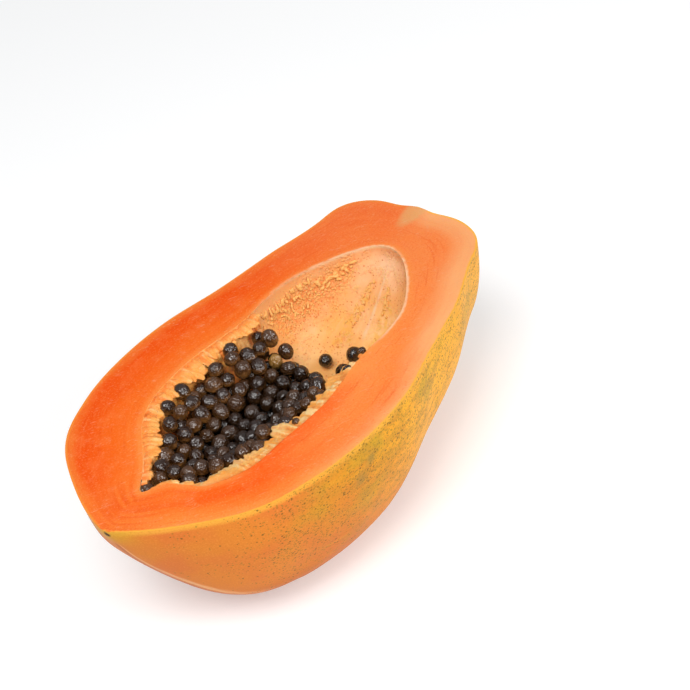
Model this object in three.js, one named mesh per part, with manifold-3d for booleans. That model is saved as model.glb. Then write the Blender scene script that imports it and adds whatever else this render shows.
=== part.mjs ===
// Half of a ripe papaya, cut lengthwise, lying on its belly with the cut face up and its seeds in place.
// Millimetres, +Z up. +X points from the blossom tip to the stem end, and -Y is the fuller side.
// The origin is under the middle of the fruit, on the surface that it rests on.

import * as THREE from 'three';
import { mergeVertices } from 'three/addons/utils/BufferGeometryUtils.js';
import Module from 'manifold-3d';

const wasm = await Module();
wasm.setup();
const radians = THREE.MathUtils.degToRad;

// ---- Driving dimensions: the fruit ----
const LENGTH = 205;
// Half-width of the cut face divided by sqrt(1 - u^2), at even steps of u from blossom tip to stem end.
const BODY_FULLNESS = [50, 66, 65.7, 63.3, 60, 54.8, 54.5, 58.5, 84];
const BELLY_RATIO = 1.26; // depth of the half over its half-width, at the middle
const BELLY_STEMWARD = 0.04; // and how much it grows towards the stem end
const SECTION_POWER = 2.05; // 2 is an ellipse, more is squarer
const BOW_MIDDLE = 3.3; // sideways bow of the long axis at the middle
const BOW_STEMWARD = 5.4; // and how much more it bows towards the stem end
const LOBES = 5; // ridges round the whole fruit
const RIDGE_ANGLE = radians(54); // the ridge on the fuller side, below the cut face
const RIDGE_TWIST = radians(14); // and how far it wanders towards the cut face, stemward
const RIDGE_SHARE = 0.03; // ridge height over the half-width
const REST_HEIGHT = 73; // from the flattened belly to the cut face
const BLOSSOM_NUB = 1.6; // how far the blossom tip stands out
const BLOSSOM_NUB_RADIUS = 7;
const STEM_DIMPLE = 5; // depth of the hollow round the stem scar
const STEM_DIMPLE_RADIUS = 15;
const STEM_SCAR = 3; // how far the corky scar stands up in the hollow
const STEM_SCAR_RADIUS = 7;

// ---- Driving dimensions: the seed cavity ----
const CAVITY_START = -82.5; // slit end, towards the blossom tip
const CAVITY_END = 73; // round end, towards the stem
// Half-width of the mouth divided by sqrt(1 - c^2), at even steps of c from slit end to round end.
const CAVITY_FULLNESS = [9, 32.8, 34.5, 30.4, 34.5, 29];
const CAVITY_RATIO = 1.1; // depth over half-width
const CAVITY_POWER = 2.1;
const FLARE = 12; // how much wider the mouth is on the fuller side, beside the slit
const FLARE_START = -75.5;
const FLARE_PEAK = -70;
const FLARE_END = -35;
const NEAR_PULP = 7.5; // thickness of the pulp shelf under the rim, fuller side
const FAR_PULP = 5.5; // and on the other side
const PULP_EDGE = radians(5); // angle over which the shelf reaches its thickness
const PULP_LUMP = 0.9; // height of the torn lumps on it
const RIB_HEIGHT = 1.4; // lengthwise ribs in the bare end of the cavity
const RIB_ANGLES = [radians(62), radians(118)];
const RIB_WIDTH = radians(7);

// ---- Driving dimensions: the seeds ----
const SEED_RADIUS = 3.1;
const SEED_STRETCH = 1.15; // length over width of a seed
const SEED_PITCH = 6.5; // distance between rows, and between seeds in a row
const SEED_SCATTER = 1.1; // how far a seed sits off its place, at most
const SEED_GAP = 0.8; // from the seeds to the lining, measured across the cavity
const BED_START = -78; // the bed of seeds, from the slit
const BED_END = 13; // to its furthest point on the bare lining,
const BED_END_ACROSS = 10; // which lies this far from the long axis
const BED_END_ROUND = 9; // smaller is a rounder end
const BED_END_SLOPE = 2.2; // how steeply the bed's end falls to the lining
const BED_SHIFT = -0.03; // middle of the bed, off the cavity's middle, over the half-width
const BED_SHARE = 0.7; // half-width of the bed over the cavity's half-width
const BED_RIM = 2.8; // depth of the bed's sides under the cut face
const BED_DEPTH = 13; // how far the middle of the bed lies under its sides
const BED_DEEPENS = 45; // length from the slit over which it gets there
const CORE_DROP = 1.8; // how far the core lies under the seeds' middles
// Loose seeds on the bare lining: place along and across the cavity.
const LOOSE_SEEDS = [[29, 4], [27, -6], [36.5, -5]];
const LOOSE_GAP = 0.9; // from a loose seed to the lining

// ---- Mesh steps ----
const BODY_STEPS = 60;
const SKIN_STEPS = 28;
const FACE_STEPS = 2;
const LINING_STEPS = 30;
const LINING_CROWD = 0.45; // 0 spaces the lining's steps evenly, 1 crowds them at the mouth
const ROOM_STEPS = 36;
const SEED_SIDES = 7;
const SEED_BANDS = 5;
const BED_CELL = 8;
const WALK_STEP = 0.25; // step along a row of seeds
const SEEK_STEP = 0.01; // step of angle when the lining is looked up

// ---- Materials ----
const fruitMaterial = new THREE.MeshStandardMaterial({ color: 0xf27a3a, roughness: 0.45, metalness: 0 });
const seedMaterial = new THREE.MeshStandardMaterial({ color: 0x231a14, roughness: 0.2, metalness: 0 });

// ---- Small helpers ----
const smoothStep = (from, to, value) => THREE.MathUtils.smoothstep(value, from, to);
const signedPower = (value, power) => Math.sign(value) * Math.pow(Math.abs(value), power);
const bell = (distance, width) => Math.exp(-((distance / width) ** 2));
const evenCurve = (values) => new THREE.SplineCurve(values.map((value, i) => new THREE.Vector2(i, value)));
const roundEnded = (curve, u) => curve.getPoint((u + 1) / 2).y * Math.sqrt(Math.max(0, 1 - u * u));

// The same row of numbers between 0 and 1 on every run.
let seedState = 20457;
function random() {
  seedState = (seedState * 16807) % 2147483647;
  return seedState / 2147483647;
}
const scatter = (reach) => (2 * random() - 1) * reach;

// ---- Shape of the fruit, with the cut face at z = 0 ----
// u runs from -1 at the blossom tip to 1 at the stem end. Angles run from 0 at the fuller side's
// edge of the cut face, under the belly, to pi at the other edge.
const HALF = LENGTH / 2;
const bodyCurve = evenCurve(BODY_FULLNESS);
const bow = (u) => -(BOW_MIDDLE + BOW_STEMWARD * u) * (1 - u * u);

function skinPoint(u, angle) {
  const width = roundEnded(bodyCurve, u);
  const belly = BELLY_RATIO + BELLY_STEMWARD * u;
  const ridgeAt = RIDGE_ANGLE - RIDGE_TWIST * u;
  const ridge = 1 + RIDGE_SHARE * Math.cos(LOBES * (angle - ridgeAt)) * Math.sin(angle);
  const y = -width * ridge * signedPower(Math.cos(angle), 2 / SECTION_POWER);
  const z = -width * ridge * belly * Math.pow(Math.sin(angle), 2 / SECTION_POWER);
  const offAxis = Math.hypot(y, z);
  const tip = -BLOSSOM_NUB * bell(offAxis, BLOSSOM_NUB_RADIUS);
  const scar = STEM_SCAR * bell(offAxis, STEM_SCAR_RADIUS) - STEM_DIMPLE * bell(offAxis, STEM_DIMPLE_RADIUS);
  return new THREE.Vector3(HALF * u + (u < 0 ? tip : scar), bow(u) + y, z);
}

// ---- Shape of the cavity: c runs from -1 at the slit to 1 at the round end ----
const cavityCurve = evenCurve(CAVITY_FULLNESS);
const CAVITY_MIDDLE = (CAVITY_START + CAVITY_END) / 2;
const CAVITY_HALF = (CAVITY_END - CAVITY_START) / 2;
const cavityShare = (x) => THREE.MathUtils.clamp((x - CAVITY_MIDDLE) / CAVITY_HALF, -1, 1);
const mouthHalfWidth = (x) => roundEnded(cavityCurve, cavityShare(x));
const flare = (x) => FLARE * smoothStep(FLARE_START, FLARE_PEAK, x) * (1 - smoothStep(FLARE_PEAK, FLARE_END, x));

// How far the pulp stands in from the plain cavity wall.
function pulpThickness(x, angle, lumpHeight) {
  const seeded = smoothStep(-80, -62, x) * (1 - smoothStep(-5, 22, x));
  const bare = smoothStep(8, 30, x) * (1 - smoothStep(62, 73, x));
  const near = NEAR_PULP * smoothStep(0, PULP_EDGE, angle) * (1 - smoothStep(radians(30), radians(75), angle));
  const fromFar = Math.PI - angle;
  const far = FAR_PULP * smoothStep(0, PULP_EDGE, fromFar) * (1 - smoothStep(radians(30), radians(60), fromFar));
  const lumps = lumpHeight * Math.sin(x / 1.7) * Math.sin(9 * angle) * Math.min(1, 4 * Math.sin(angle));
  const ribs = RIB_ANGLES.reduce((sum, place) => sum + bell(angle - place, RIB_WIDTH), 0);
  return seeded * (near + far + lumps) + RIB_HEIGHT * bare * ribs;
}

function liningPoint(c, angle, inset = 0, lumpHeight = PULP_LUMP) {
  const width = roundEnded(cavityCurve, c);
  const x = CAVITY_MIDDLE + (CAVITY_HALF - inset) * c;
  const across = width + flare(x) * Math.max(0, Math.cos(angle));
  const pulpShare = Math.min(1, width / (2 * NEAR_PULP));
  const inward = inset + pulpShare * pulpThickness(CAVITY_MIDDLE + CAVITY_HALF * c, angle, lumpHeight);
  const y = -across * signedPower(Math.cos(angle), 2 / CAVITY_POWER) + inward * Math.cos(angle);
  const z = -width * CAVITY_RATIO * Math.pow(Math.sin(angle), 2 / CAVITY_POWER) + inward * Math.sin(angle);
  return new THREE.Vector3(x, bow(x / HALF) + (width > inset ? y : 0), Math.min(0, z));
}

function liningHeight(x, y) {
  let nearest = liningPoint(cavityShare(x), 0);
  for (let angle = 0; angle <= Math.PI; angle += SEEK_STEP) {
    const point = liningPoint(cavityShare(x), angle);
    if (Math.abs(point.y - y) < Math.abs(nearest.y - y)) nearest = point;
  }
  return nearest.z;
}

// ---- Shape of the bed of seeds: the height of the seeds' middles ----
const bedMiddle = (x) => bow(x / HALF) + BED_SHIFT * mouthHalfWidth(x);
const bedReach = (x) => Math.max(1, BED_SHARE * mouthHalfWidth(x));
const bedEnd = (y) => BED_END - ((y - BED_END_ACROSS) / BED_END_ROUND) ** 2;

function bedHeight(x, y) {
  const across = (y - bedMiddle(x)) / bedReach(x);
  const deepened = smoothStep(BED_START, BED_START + BED_DEEPENS, x);
  const hollow = BED_DEPTH * deepened * Math.max(0, 1 - across * across);
  return -BED_RIM - hollow - BED_END_SLOPE * Math.max(0, x - bedEnd(y));
}

// Rows across the bed, each with seeds at even steps along its curve.
function seedPlaces() {
  const places = [];
  const rows = Math.floor((BED_END - BED_START) / SEED_PITCH);
  for (let row = 0; row <= rows; row += 1) {
    const x = BED_START + row * SEED_PITCH;
    const start = bedMiddle(x) - bedReach(x);
    let last = new THREE.Vector2(start, bedHeight(x, start));
    let walked = row % 2 ? 0 : SEED_PITCH / 2;
    for (let y = start; y <= bedMiddle(x) + bedReach(x); y += WALK_STEP) {
      const here = new THREE.Vector2(y, bedHeight(x, y));
      walked += here.distanceTo(last);
      last = here;
      if (walked < SEED_PITCH) continue;
      walked -= SEED_PITCH;
      const place = new THREE.Vector3(x + scatter(SEED_SCATTER), y + scatter(SEED_SCATTER), 0);
      place.z = bedHeight(place.x, place.y) + scatter(SEED_SCATTER);
      if (place.x < bedEnd(place.y)) places.push(place);
    }
  }
  return places;
}

// ---- Solids ----
// A closed skin over rings of points: ring i holds pointAt(i, 0) to pointAt(i, around - 1), and the
// first and last rings shrink to a line or a point.
function ringGeometry(rings, around, pointAt) {
  const positions = [];
  const triangles = [];
  for (let i = 0; i <= rings; i += 1) {
    for (let j = 0; j < around; j += 1) positions.push(...pointAt(i, j).toArray());
  }
  for (let i = 0; i < rings; i += 1) {
    for (let j = 0; j < around; j += 1) {
      const [a, b] = [i * around + j, i * around + ((j + 1) % around)];
      const [c, d] = [a + around, b + around];
      triangles.push(a, b, c, b, d, c);
    }
  }
  const geometry = new THREE.BufferGeometry();
  geometry.setAttribute('position', new THREE.Float32BufferAttribute(positions, 3));
  geometry.setIndex(triangles);
  return geometry;
}

// A closed geometry as a solid: shared vertices merged and the triangles that this flattens dropped.
function toSolid(geometry) {
  const bare = geometry.clone();
  bare.deleteAttribute('normal');
  bare.deleteAttribute('uv');
  const merged = mergeVertices(bare);
  const index = merged.index.array;
  const kept = [];
  for (let i = 0; i < index.length; i += 3) {
    const [a, b, c] = [index[i], index[i + 1], index[i + 2]];
    if (a !== b && b !== c && c !== a) kept.push(a, b, c);
  }
  return new wasm.Manifold(new wasm.Mesh({
    numProp: 3,
    vertProperties: new Float32Array(merged.attributes.position.array),
    triVerts: new Uint32Array(kept),
  }));
}

function toMesh(name, solid, material) {
  const { vertProperties, triVerts, numProp } = solid.getMesh();
  const geometry = new THREE.BufferGeometry();
  geometry.setAttribute('position', new THREE.Float32BufferAttribute(vertProperties, numProp));
  geometry.setIndex([...triVerts]);
  geometry.computeVertexNormals();
  const mesh = new THREE.Mesh(geometry, material);
  mesh.name = name;
  return mesh;
}

const evenShare = (i, steps) => -Math.cos((Math.PI * i) / steps);
const crowdedAngle = (j, steps) => (Math.PI * j) / steps - (LINING_CROWD / 2) * Math.sin((2 * Math.PI * j) / steps);

// Skin under the belly, the cut face's far strip, the cavity's lining, and the near strip back.
function fruitGeometry() {
  const farMouth = SKIN_STEPS + FACE_STEPS;
  const nearMouth = farMouth + LINING_STEPS;
  return ringGeometry(BODY_STEPS, nearMouth + FACE_STEPS, (i, j) => {
    const share = evenShare(i, BODY_STEPS);
    if (j <= SKIN_STEPS) return skinPoint(share, (Math.PI * j) / SKIN_STEPS);
    if (j < farMouth) {
      return skinPoint(share, Math.PI).lerp(liningPoint(share, Math.PI), (j - SKIN_STEPS) / FACE_STEPS);
    }
    if (j <= nearMouth) return liningPoint(share, crowdedAngle(nearMouth - j, LINING_STEPS));
    return liningPoint(share, 0).lerp(skinPoint(share, 0), (j - nearMouth) / FACE_STEPS);
  });
}

// All above the plane that flattens the belly where the fruit rests.
function aboveRestGeometry() {
  const size = 2 * LENGTH;
  return new THREE.BoxGeometry(size, size, size).translate(0, 0, size / 2 - REST_HEIGHT);
}

// The room that seeds may fill: the cavity less a gap and its lumps.
function seedRoomGeometry() {
  return ringGeometry(ROOM_STEPS, LINING_STEPS + 1, (i, j) => {
    const angle = crowdedAngle(j, LINING_STEPS);
    return liningPoint(evenShare(i, ROOM_STEPS), angle, SEED_GAP + PULP_LUMP, 0);
  });
}

// A block with the bed's shape on top, which the seeds stand out of.
function bedGeometry() {
  const [from, to, reach, floor] = [CAVITY_START, BED_END + 2 * BED_CELL, 6 * BED_CELL, -REST_HEIGHT];
  const cells = Math.round((to - from) / BED_CELL);
  const bed = new THREE.BoxGeometry(to - from, 2 * reach, 2, cells, (2 * reach) / BED_CELL, 1);
  bed.translate((from + to) / 2, 0, 0);
  const position = bed.attributes.position;
  for (let i = 0; i < position.count; i += 1) {
    const top = Math.max(floor + 1, bedHeight(position.getX(i), position.getY(i)) - CORE_DROP);
    position.setZ(i, position.getZ(i) > 0 ? top : floor);
  }
  return bed;
}

function seedGeometry(place) {
  const seed = new THREE.SphereGeometry(SEED_RADIUS * (0.94 + scatter(0.1)), SEED_SIDES, SEED_BANDS);
  seed.scale(1, SEED_STRETCH, 1);
  seed.rotateX(Math.PI * random());
  seed.rotateZ(Math.PI * random());
  return seed.translate(place.x, place.y, place.z);
}

// The seeds and their core, less what the lining's room cuts off.
function seedCluster() {
  const seeds = seedPlaces().map((place) => toSolid(seedGeometry(place)));
  const joined = seeds.reduce((sum, seed) => sum.add(seed), toSolid(bedGeometry()));
  const bodies = joined.intersect(toSolid(seedRoomGeometry())).decompose();
  return bodies.reduce((largest, body) => (body.volume() > largest.volume() ? body : largest));
}

// ---- The object ----
const papaya = new THREE.Group();
const fruit = toSolid(fruitGeometry()).intersect(toSolid(aboveRestGeometry()));
papaya.add(toMesh('fruit_half', fruit, fruitMaterial));
papaya.add(toMesh('seed_cluster', seedCluster(), seedMaterial));
LOOSE_SEEDS.forEach(([x, y], i) => {
  const place = new THREE.Vector3(x, y, liningHeight(x, y) + SEED_RADIUS + LOOSE_GAP);
  papaya.add(toMesh(`loose_seed_${i + 1}`, toSolid(seedGeometry(place)), seedMaterial));
});

const box = new THREE.Box3().setFromObject(papaya);
const middle = box.getCenter(new THREE.Vector3());
papaya.position.set(-middle.x, -middle.y, -box.min.z);

const group = new THREE.Group();
group.add(papaya);

export default group;
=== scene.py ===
"""Looks of half a ripe papaya: skin, cut flesh, cavity, torn pulp and wet seeds, on a plain stage."""

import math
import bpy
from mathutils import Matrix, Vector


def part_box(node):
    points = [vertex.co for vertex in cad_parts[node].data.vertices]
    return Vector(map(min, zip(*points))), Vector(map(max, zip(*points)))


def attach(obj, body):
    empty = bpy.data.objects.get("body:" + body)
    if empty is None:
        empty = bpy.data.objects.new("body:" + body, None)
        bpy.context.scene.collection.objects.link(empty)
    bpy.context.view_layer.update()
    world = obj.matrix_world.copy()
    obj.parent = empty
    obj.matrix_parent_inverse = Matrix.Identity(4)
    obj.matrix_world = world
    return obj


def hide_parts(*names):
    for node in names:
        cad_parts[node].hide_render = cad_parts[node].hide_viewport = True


bl_info = {
    "name": "Papaya Half With Seeds",
    "version": (1, 0, 0),
    "blender": (4, 5, 0),
    "location": "View3D > Sidebar > Papaya",
    "description": "Builds the fine skin, flesh, pulp and seeds of a cut papaya over its packed model",
    "category": "Add Mesh",
}

import bmesh
import bpy
import numpy as np
from bpy.props import FloatProperty, FloatVectorProperty, IntProperty, PointerProperty
from mathutils import Matrix, Vector, noise
from mathutils.bvhtree import BVHTree

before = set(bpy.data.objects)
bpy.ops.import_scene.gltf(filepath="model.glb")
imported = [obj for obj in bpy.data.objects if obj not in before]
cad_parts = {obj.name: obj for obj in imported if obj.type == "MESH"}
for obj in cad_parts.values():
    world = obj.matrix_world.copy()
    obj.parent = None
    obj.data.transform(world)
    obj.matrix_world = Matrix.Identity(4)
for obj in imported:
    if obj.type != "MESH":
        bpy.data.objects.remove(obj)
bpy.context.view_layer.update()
FRUIT_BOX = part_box("fruit_half")

# ---- The fruit's form, in millimetres, with the cut face at z = 0 and the stem towards +X ----
MM = 0.001
HALF_LENGTH = 102.5
BODY_FULLNESS = (50, 66, 65.7, 63.3, 60, 54.8, 54.5, 58.5, 84)
BELLY_RATIO = 1.26
BELLY_STEMWARD = 0.04
SECTION_POWER = 2.05
BOW_MIDDLE = 3.3
BOW_STEMWARD = 5.4
LOBES = 5
RIDGE_ANGLE = math.radians(54)
RIDGE_TWIST = math.radians(14)
RIDGE_SHARE = 0.03
CREASE_ANGLE = math.radians(63)
CREASE_TWIST = math.radians(50)
CREASE_PLACE = 0.8
CREASE_SHARE = 0.03
CREASE_WIDTH = math.radians(8)
CREASE_SOFTNESS = math.radians(3)
REST_HEIGHT = 73
BLOSSOM_NUB = 1.6
BLOSSOM_NUB_RADIUS = 7
STEM_DIMPLE = 5
STEM_DIMPLE_RADIUS = 15
STEM_SCAR = 3
STEM_SCAR_RADIUS = 7
LARGE_DENT = 0.21
SMALL_DENT = 0.056

# ---- The cavity and the pulp on its walls; a pair of numbers is where a feature fades in or out ----
CAVITY_START = -82.5
CAVITY_END = 73
CAVITY_MIDDLE = (CAVITY_START + CAVITY_END) / 2
CAVITY_HALF = (CAVITY_END - CAVITY_START) / 2
CAVITY_FULLNESS = (9, 32.8, 34.5, 30.4, 34.5, 29)
CAVITY_RATIO = 1.1
CAVITY_POWER = 2.1
FLARE = 12
FLARE_START = -75.5
FLARE_PEAK = -70
FLARE_END = -35
SEEDED_FROM = (-80, -62)
SEEDED_TO = (-5, 22)
BARE_FROM = (38, 52)
BARE_TO = (66, 73)
NEAR_PULP = 7.5
NEAR_PULP_DOWN = (math.radians(30), math.radians(75))
FAR_PULP = 5.5
FAR_PULP_DOWN = (math.radians(30), math.radians(60))
PULP_EDGE = math.radians(5)
RIB_HEIGHT = 1.1
RIB_ANGLES = (math.radians(94), math.radians(112))
RIB_WIDTH = math.radians(5)

# ---- Lengths of the torn pulp along the mouth: places along X, each with a length ----
FAR_LENGTHS = (
    (-78, 1.5), (-68, 3.5), (-60, 8), (-52, 7.5), (-45, 4), (-36, 6.5),
    (-26, 10), (-10, 8), (0, 4.5), (10, 6), (17, 4.5),
)
NEAR_LENGTHS = (
    (-78, 1.5), (-72, 4), (-66, 10), (-56, 12.5), (-48, 11), (-43.5, 5),
    (-40, 6), (-36, 10.5), (-31, 10), (-25, 5.5), (5, 4),
)
TONGUE_ROWS = (
    # side, step along the mouth, lengths, last place, drop per length, widths, thicknesses
    (1, 2.5, FAR_LENGTHS, 17, (0.16, 0.34), (2.7, 3.9), (1.5, 2.2)),
    (-1, 2.7, NEAR_LENGTHS, 4, (0.24, 0.42), (3.4, 6.0), (1.2, 1.6)),
)
NEAR_FLAPS = (
    # place along X, length, width
    (-57, 12.5, 6), (-50, 11.5, 6), (-34, 13, 7), (-20, 6.5, 5), (-9, 5.5, 5), (8, 4, 3), (13, 3, 2),
)
CRUMB_PATCHES = (
    # how many, shares along the cavity, angles round it in degrees, lengths, widths, way down the wall
    (21, (0.22, 0.68), (170, 174), (3.2, 4.8), (1.2, 1.5), 1.0),
    (18, (0.24, 0.62), (162, 169), (1.4, 2.2), (1.1, 1.5), 0.8),
    (26, (0.70, 0.90), (156, 168), (1.4, 2.4), (1.1, 1.5), 0.3),
    (50, (0.45, 0.88), (150, 164), (1.0, 1.4), (0.9, 1.2), 0.3),
    (36, (0.68, 0.90), (106, 118), (1.0, 1.5), (0.9, 1.2), 0.2),
    (24, (0.78, 0.90), (76, 86), (1.0, 1.5), (0.9, 1.2), 0.2),
    (24, (0.2, 0.6), (130, 160), (0.9, 1.2), (0.8, 1.0), 0.3),
)
# Tongues up to this place along X are blocky, and crumbs past it are round
BLOCKY_TO = 17

# ---- The bed of seeds ----
SEED_RADIUS = 3.1
SEED_STRETCH = 1.15
SEED_PITCH = 6.5
SEED_SCATTER = 1.1
SEED_REACH = 5.9
BED_START = -78
BED_END = 13
BED_END_ACROSS = 10
BED_END_ROUND = 9
BED_END_SLOPE = 2.2
BED_SHIFT = -0.03
BED_SHARE = 0.7
BED_RIM = 2.8
BED_DEPTH = 13
BED_DEEPENS = 45
BURIED_DROPS = (4.2, 8.2)
BURIED_GAP = 3.4
WALL_GAP = 2.2
PUSH_ROUNDS = 40
HELD_GIVE = 0.25
WALK_STEP = 0.25
LOOSE_SEEDS = ((29, 4), (27, -6), (36.5, -5))
LOOSE_GAP = 0.9
RIM_SEEDS = (
    (-38.6, 24.5), (-28.9, 25.1), (-1.7, 22.4), (-67.2, -9.5),
    (-57.5, -15.5), (-47.5, -20), (-42.1, -24), (-37, -21.5),
)
# Place, and size as a share of a whole seed
SMALL_SEEDS = ((-77.6, 4.0, 0.75), (16, -30.6, 0.6), (5, -31.4, 0.7), (-27.3, -30.6, 0.5))
OLIVE_PLACE = (5.4, 9.2)
OLIVE_REACH = 3.2
OLIVE_TONE = 2.0

# ---- Colours of the cut flesh, by depth from the rim as a share of STRIP_DEPTH ----
STRIP_DEPTH = 40
FAR_STRIP = (
    (0, "F37A2E"), (0.05, "F6742A"), (0.13, "F4560E"), (0.26, "F65A10"),
    (0.45, "FA6A1A"), (0.7, "FC7A28"), (1, "FD8232"),
)
BLOSSOM_STRIP = (
    (0, "FD9848"), (0.1, "FC8A3A"), (0.2, "FC7628"), (0.32, "FC6018"),
    (0.5, "FC6A1C"), (0.75, "FC7C26"), (1, "FB741C"),
)
STEM_STRIP = (
    (0, "FEB068"), (0.07, "FEA262"), (0.16, "FD8C4A"), (0.3, "FD883E"),
    (0.5, "FE9248"), (0.75, "FE9A4C"), (1, "FE984A"),
)

# ---- Colours too bright for paint, as the numbers that shaders take: painted light that brightens the skin's stem side and the cavity's round end and deep floor ----
LIT_SKIN = (1, 0.47, 0.03, 1)
LIT_PINK_END = (1, 0.62, 0.37, 1)
LIT_CAVITY_FLOOR = (1, 0.64, 0.27, 1)

# ---- Grey-green blotches on the skin: place in the model's millimetres, and reach ----
BLOTCHES = (
    ((-24, -60.3, 62.5), 3.4), ((-30, -58.5, 56.5), 4.2), ((-17, -58, 61), 2.6),
    ((-12, -56, 60), 2.8), ((8, -55, 62), 2.4),
)

# ---- Middles of the red-brown dots' band and of the golden clouds, as shares of the way round the wall ----
STIPPLE_WAY = 0.92
CLOUD_WAYS = (0.49, 0.67)

# ---- How far the fruit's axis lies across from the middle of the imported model, in millimetres ----
AXIS_Y = 2.2

# ---- Steps of the fine mesh, and how much closer they stand at both ends of a stretch ----
SKIN_STEPS = 92
SKIN_CROWDING = 0.35
FACE_STEPS = 18
FACE_CROWDING = 0.5
LINING_STEPS = 138
LINING_CROWDING = 0.68
LENGTH_STEPS = 320
SEEDED_SHARE = 0.24
SEEDED_CROWDING = 1.7
EDGE_POINTS = 900
FLOW_AROUND = 330
SHARP_ANGLE = math.radians(50)
WELD_GAP = 2e-6
TOP_SEED_STEPS = (18, 12)
BURIED_SEED_STEPS = (10, 6)

# ---- How the nodes of a material are laid out ----
NODES_PER_ROW = 12
NODE_STEP = (180, 220)

# ---- First numbers of the random rows ----
PULP_DRAWS = 41
SEED_DRAWS = 7
BED_DRAWS = 20457

# ---- The stage: light that reaches a level surface, as a share of plain white, and the floor's colour ----
STAGE_LIGHT = 1.18
FLOOR_COLOUR = (0.72, 0.72, 0.72, 1)

# ---- The camera ----
CAMERA_PLACE = (-0.4370, -0.4846, 0.5720)
CAMERA_RIGHT = (0.571, -0.792, -0.2161)
CAMERA_UP = (0.6053, 0.2284, 0.7626)
CAMERA_LENS = 111.118


def smooth(start, end, value):
    t = np.clip((value - start) / (end - start), 0, 1)
    return t * t * (3 - 2 * t)


def bell(distance, width):
    return np.exp(-((distance / width) ** 2))


def signed_power(value, power):
    return np.sign(value) * np.abs(value) ** power


def even_curve(values, share):
    """A smooth curve through values at even steps, read at share from 0 to 1."""
    points = np.array([values[0], *values, values[-1]], float)
    at = np.clip(share, 0, 1) * (len(values) - 1)
    i = np.clip(np.floor(at).astype(int), 0, len(values) - 2)
    t = at - i
    before, start, end, after = (points[i + k] for k in range(4))
    start_slope, end_slope = (end - before) / 2, (after - start) / 2
    cubic = 2 * start - 2 * end + start_slope + end_slope
    square = -3 * start + 3 * end - 2 * start_slope - end_slope
    return ((cubic * t + square) * t + start_slope) * t + start


def round_ended(values, share):
    return even_curve(values, (share + 1) / 2) * np.sqrt(np.maximum(0, 1 - share * share))


def bow(u):
    """How far across the fruit's middle line lies, at u from -1, blossom tip, to 1, stem end."""
    return -(BOW_MIDDLE + BOW_STEMWARD * u) * (1 - u * u)


def off_middle(points):
    """How far across from the fruit's bowed middle line each point lies."""
    return points[:, 1] - bow(points[:, 0] / HALF_LENGTH)


def crease_angle(u):
    """Angle round the skin at which the crease runs."""
    return CREASE_ANGLE - CREASE_TWIST * (u + CREASE_PLACE)


def skin_points(u, angle):
    """Skin at u from -1, blossom tip, to 1, stem end. Angle 0 is the fuller side's edge of the cut face."""
    width = round_ended(BODY_FULLNESS, u)
    belly = BELLY_RATIO + BELLY_STEMWARD * u
    ridge_at = RIDGE_ANGLE - RIDGE_TWIST * u
    ridge = 1 + RIDGE_SHARE * np.cos(LOBES * (angle - ridge_at)) * np.sin(angle)
    creased = smooth(-0.15, -0.75, u) * smooth(-1, -0.97, u)
    off_crease = np.hypot(angle - crease_angle(u), CREASE_SOFTNESS) - CREASE_SOFTNESS
    ridge = ridge + CREASE_SHARE * creased * np.exp(-off_crease / CREASE_WIDTH)
    y = -width * ridge * signed_power(np.cos(angle), 2 / SECTION_POWER)
    z = -width * ridge * belly * np.maximum(0, np.sin(angle)) ** (2 / SECTION_POWER)
    off_axis = np.hypot(y, z)
    tip = -BLOSSOM_NUB * bell(off_axis, BLOSSOM_NUB_RADIUS)
    scar = STEM_SCAR * bell(off_axis, STEM_SCAR_RADIUS) - STEM_DIMPLE * bell(off_axis, STEM_DIMPLE_RADIUS)
    return np.stack([HALF_LENGTH * u + np.where(u < 0, tip, scar), bow(u) + y, z], -1)


def mouth_half_width(x):
    return round_ended(CAVITY_FULLNESS, np.clip((x - CAVITY_MIDDLE) / CAVITY_HALF, -1, 1))


def flare(x):
    """How much wider the mouth is on the fuller side, beside the slit."""
    return FLARE * smooth(FLARE_START, FLARE_PEAK, x) * (1 - smooth(FLARE_PEAK, FLARE_END, x))


def seeded(x):
    """1 along the part of the cavity that has torn pulp on its walls."""
    return smooth(*SEEDED_FROM, x) * (1 - smooth(*SEEDED_TO, x))


def pulp_thickness(x, angle, ragged):
    """How far the pulp stands in from the plain cavity wall. ragged makes its edge uneven along the wall."""
    bare = smooth(*BARE_FROM, x) * (1 - smooth(*BARE_TO, x))
    from_far = math.pi - angle
    near = NEAR_PULP * smooth(0, PULP_EDGE, angle) * (1 - smooth(*NEAR_PULP_DOWN, angle))
    far = FAR_PULP * smooth(0, PULP_EDGE, from_far) * (1 - smooth(*FAR_PULP_DOWN, from_far))
    ribs = sum(bell(angle - place, RIB_WIDTH) for place in RIB_ANGLES)
    return seeded(x) * (near + far) * ragged + RIB_HEIGHT * bare * ribs


def lining_points(c, angle, ragged=1):
    """Cavity wall at c from -1, the slit's point, to 1, the round end. Angle 0 is the fuller side."""
    width = round_ended(CAVITY_FULLNESS, c)
    x = CAVITY_MIDDLE + CAVITY_HALF * c
    inward = np.minimum(1, width / (2 * NEAR_PULP)) * pulp_thickness(x, angle, ragged)
    across = width + flare(x) * np.maximum(0, np.cos(angle))
    y = -across * signed_power(np.cos(angle), 2 / CAVITY_POWER) + inward * np.cos(angle)
    z = -width * CAVITY_RATIO * np.maximum(0, np.sin(angle)) ** (2 / CAVITY_POWER) + inward * np.sin(angle)
    return np.stack([x + 0 * y, bow(x / HALF_LENGTH) + y, np.minimum(0, z)], -1)


def rough(points, size, draw):
    """Noise from -1 to 1 at each point, in lumps of about that size."""
    shift = Vector((17.31, 5.17, 9.73)) * draw
    return np.array([noise.noise(Vector(p) / size + shift) for p in points])


def edge_reach(x, side):
    """How far the mouth's edge lies from the middle line. side is 1 for far and -1 for near."""
    return mouth_half_width(x) + np.where(side < 0, flare(x), 0)


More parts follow.
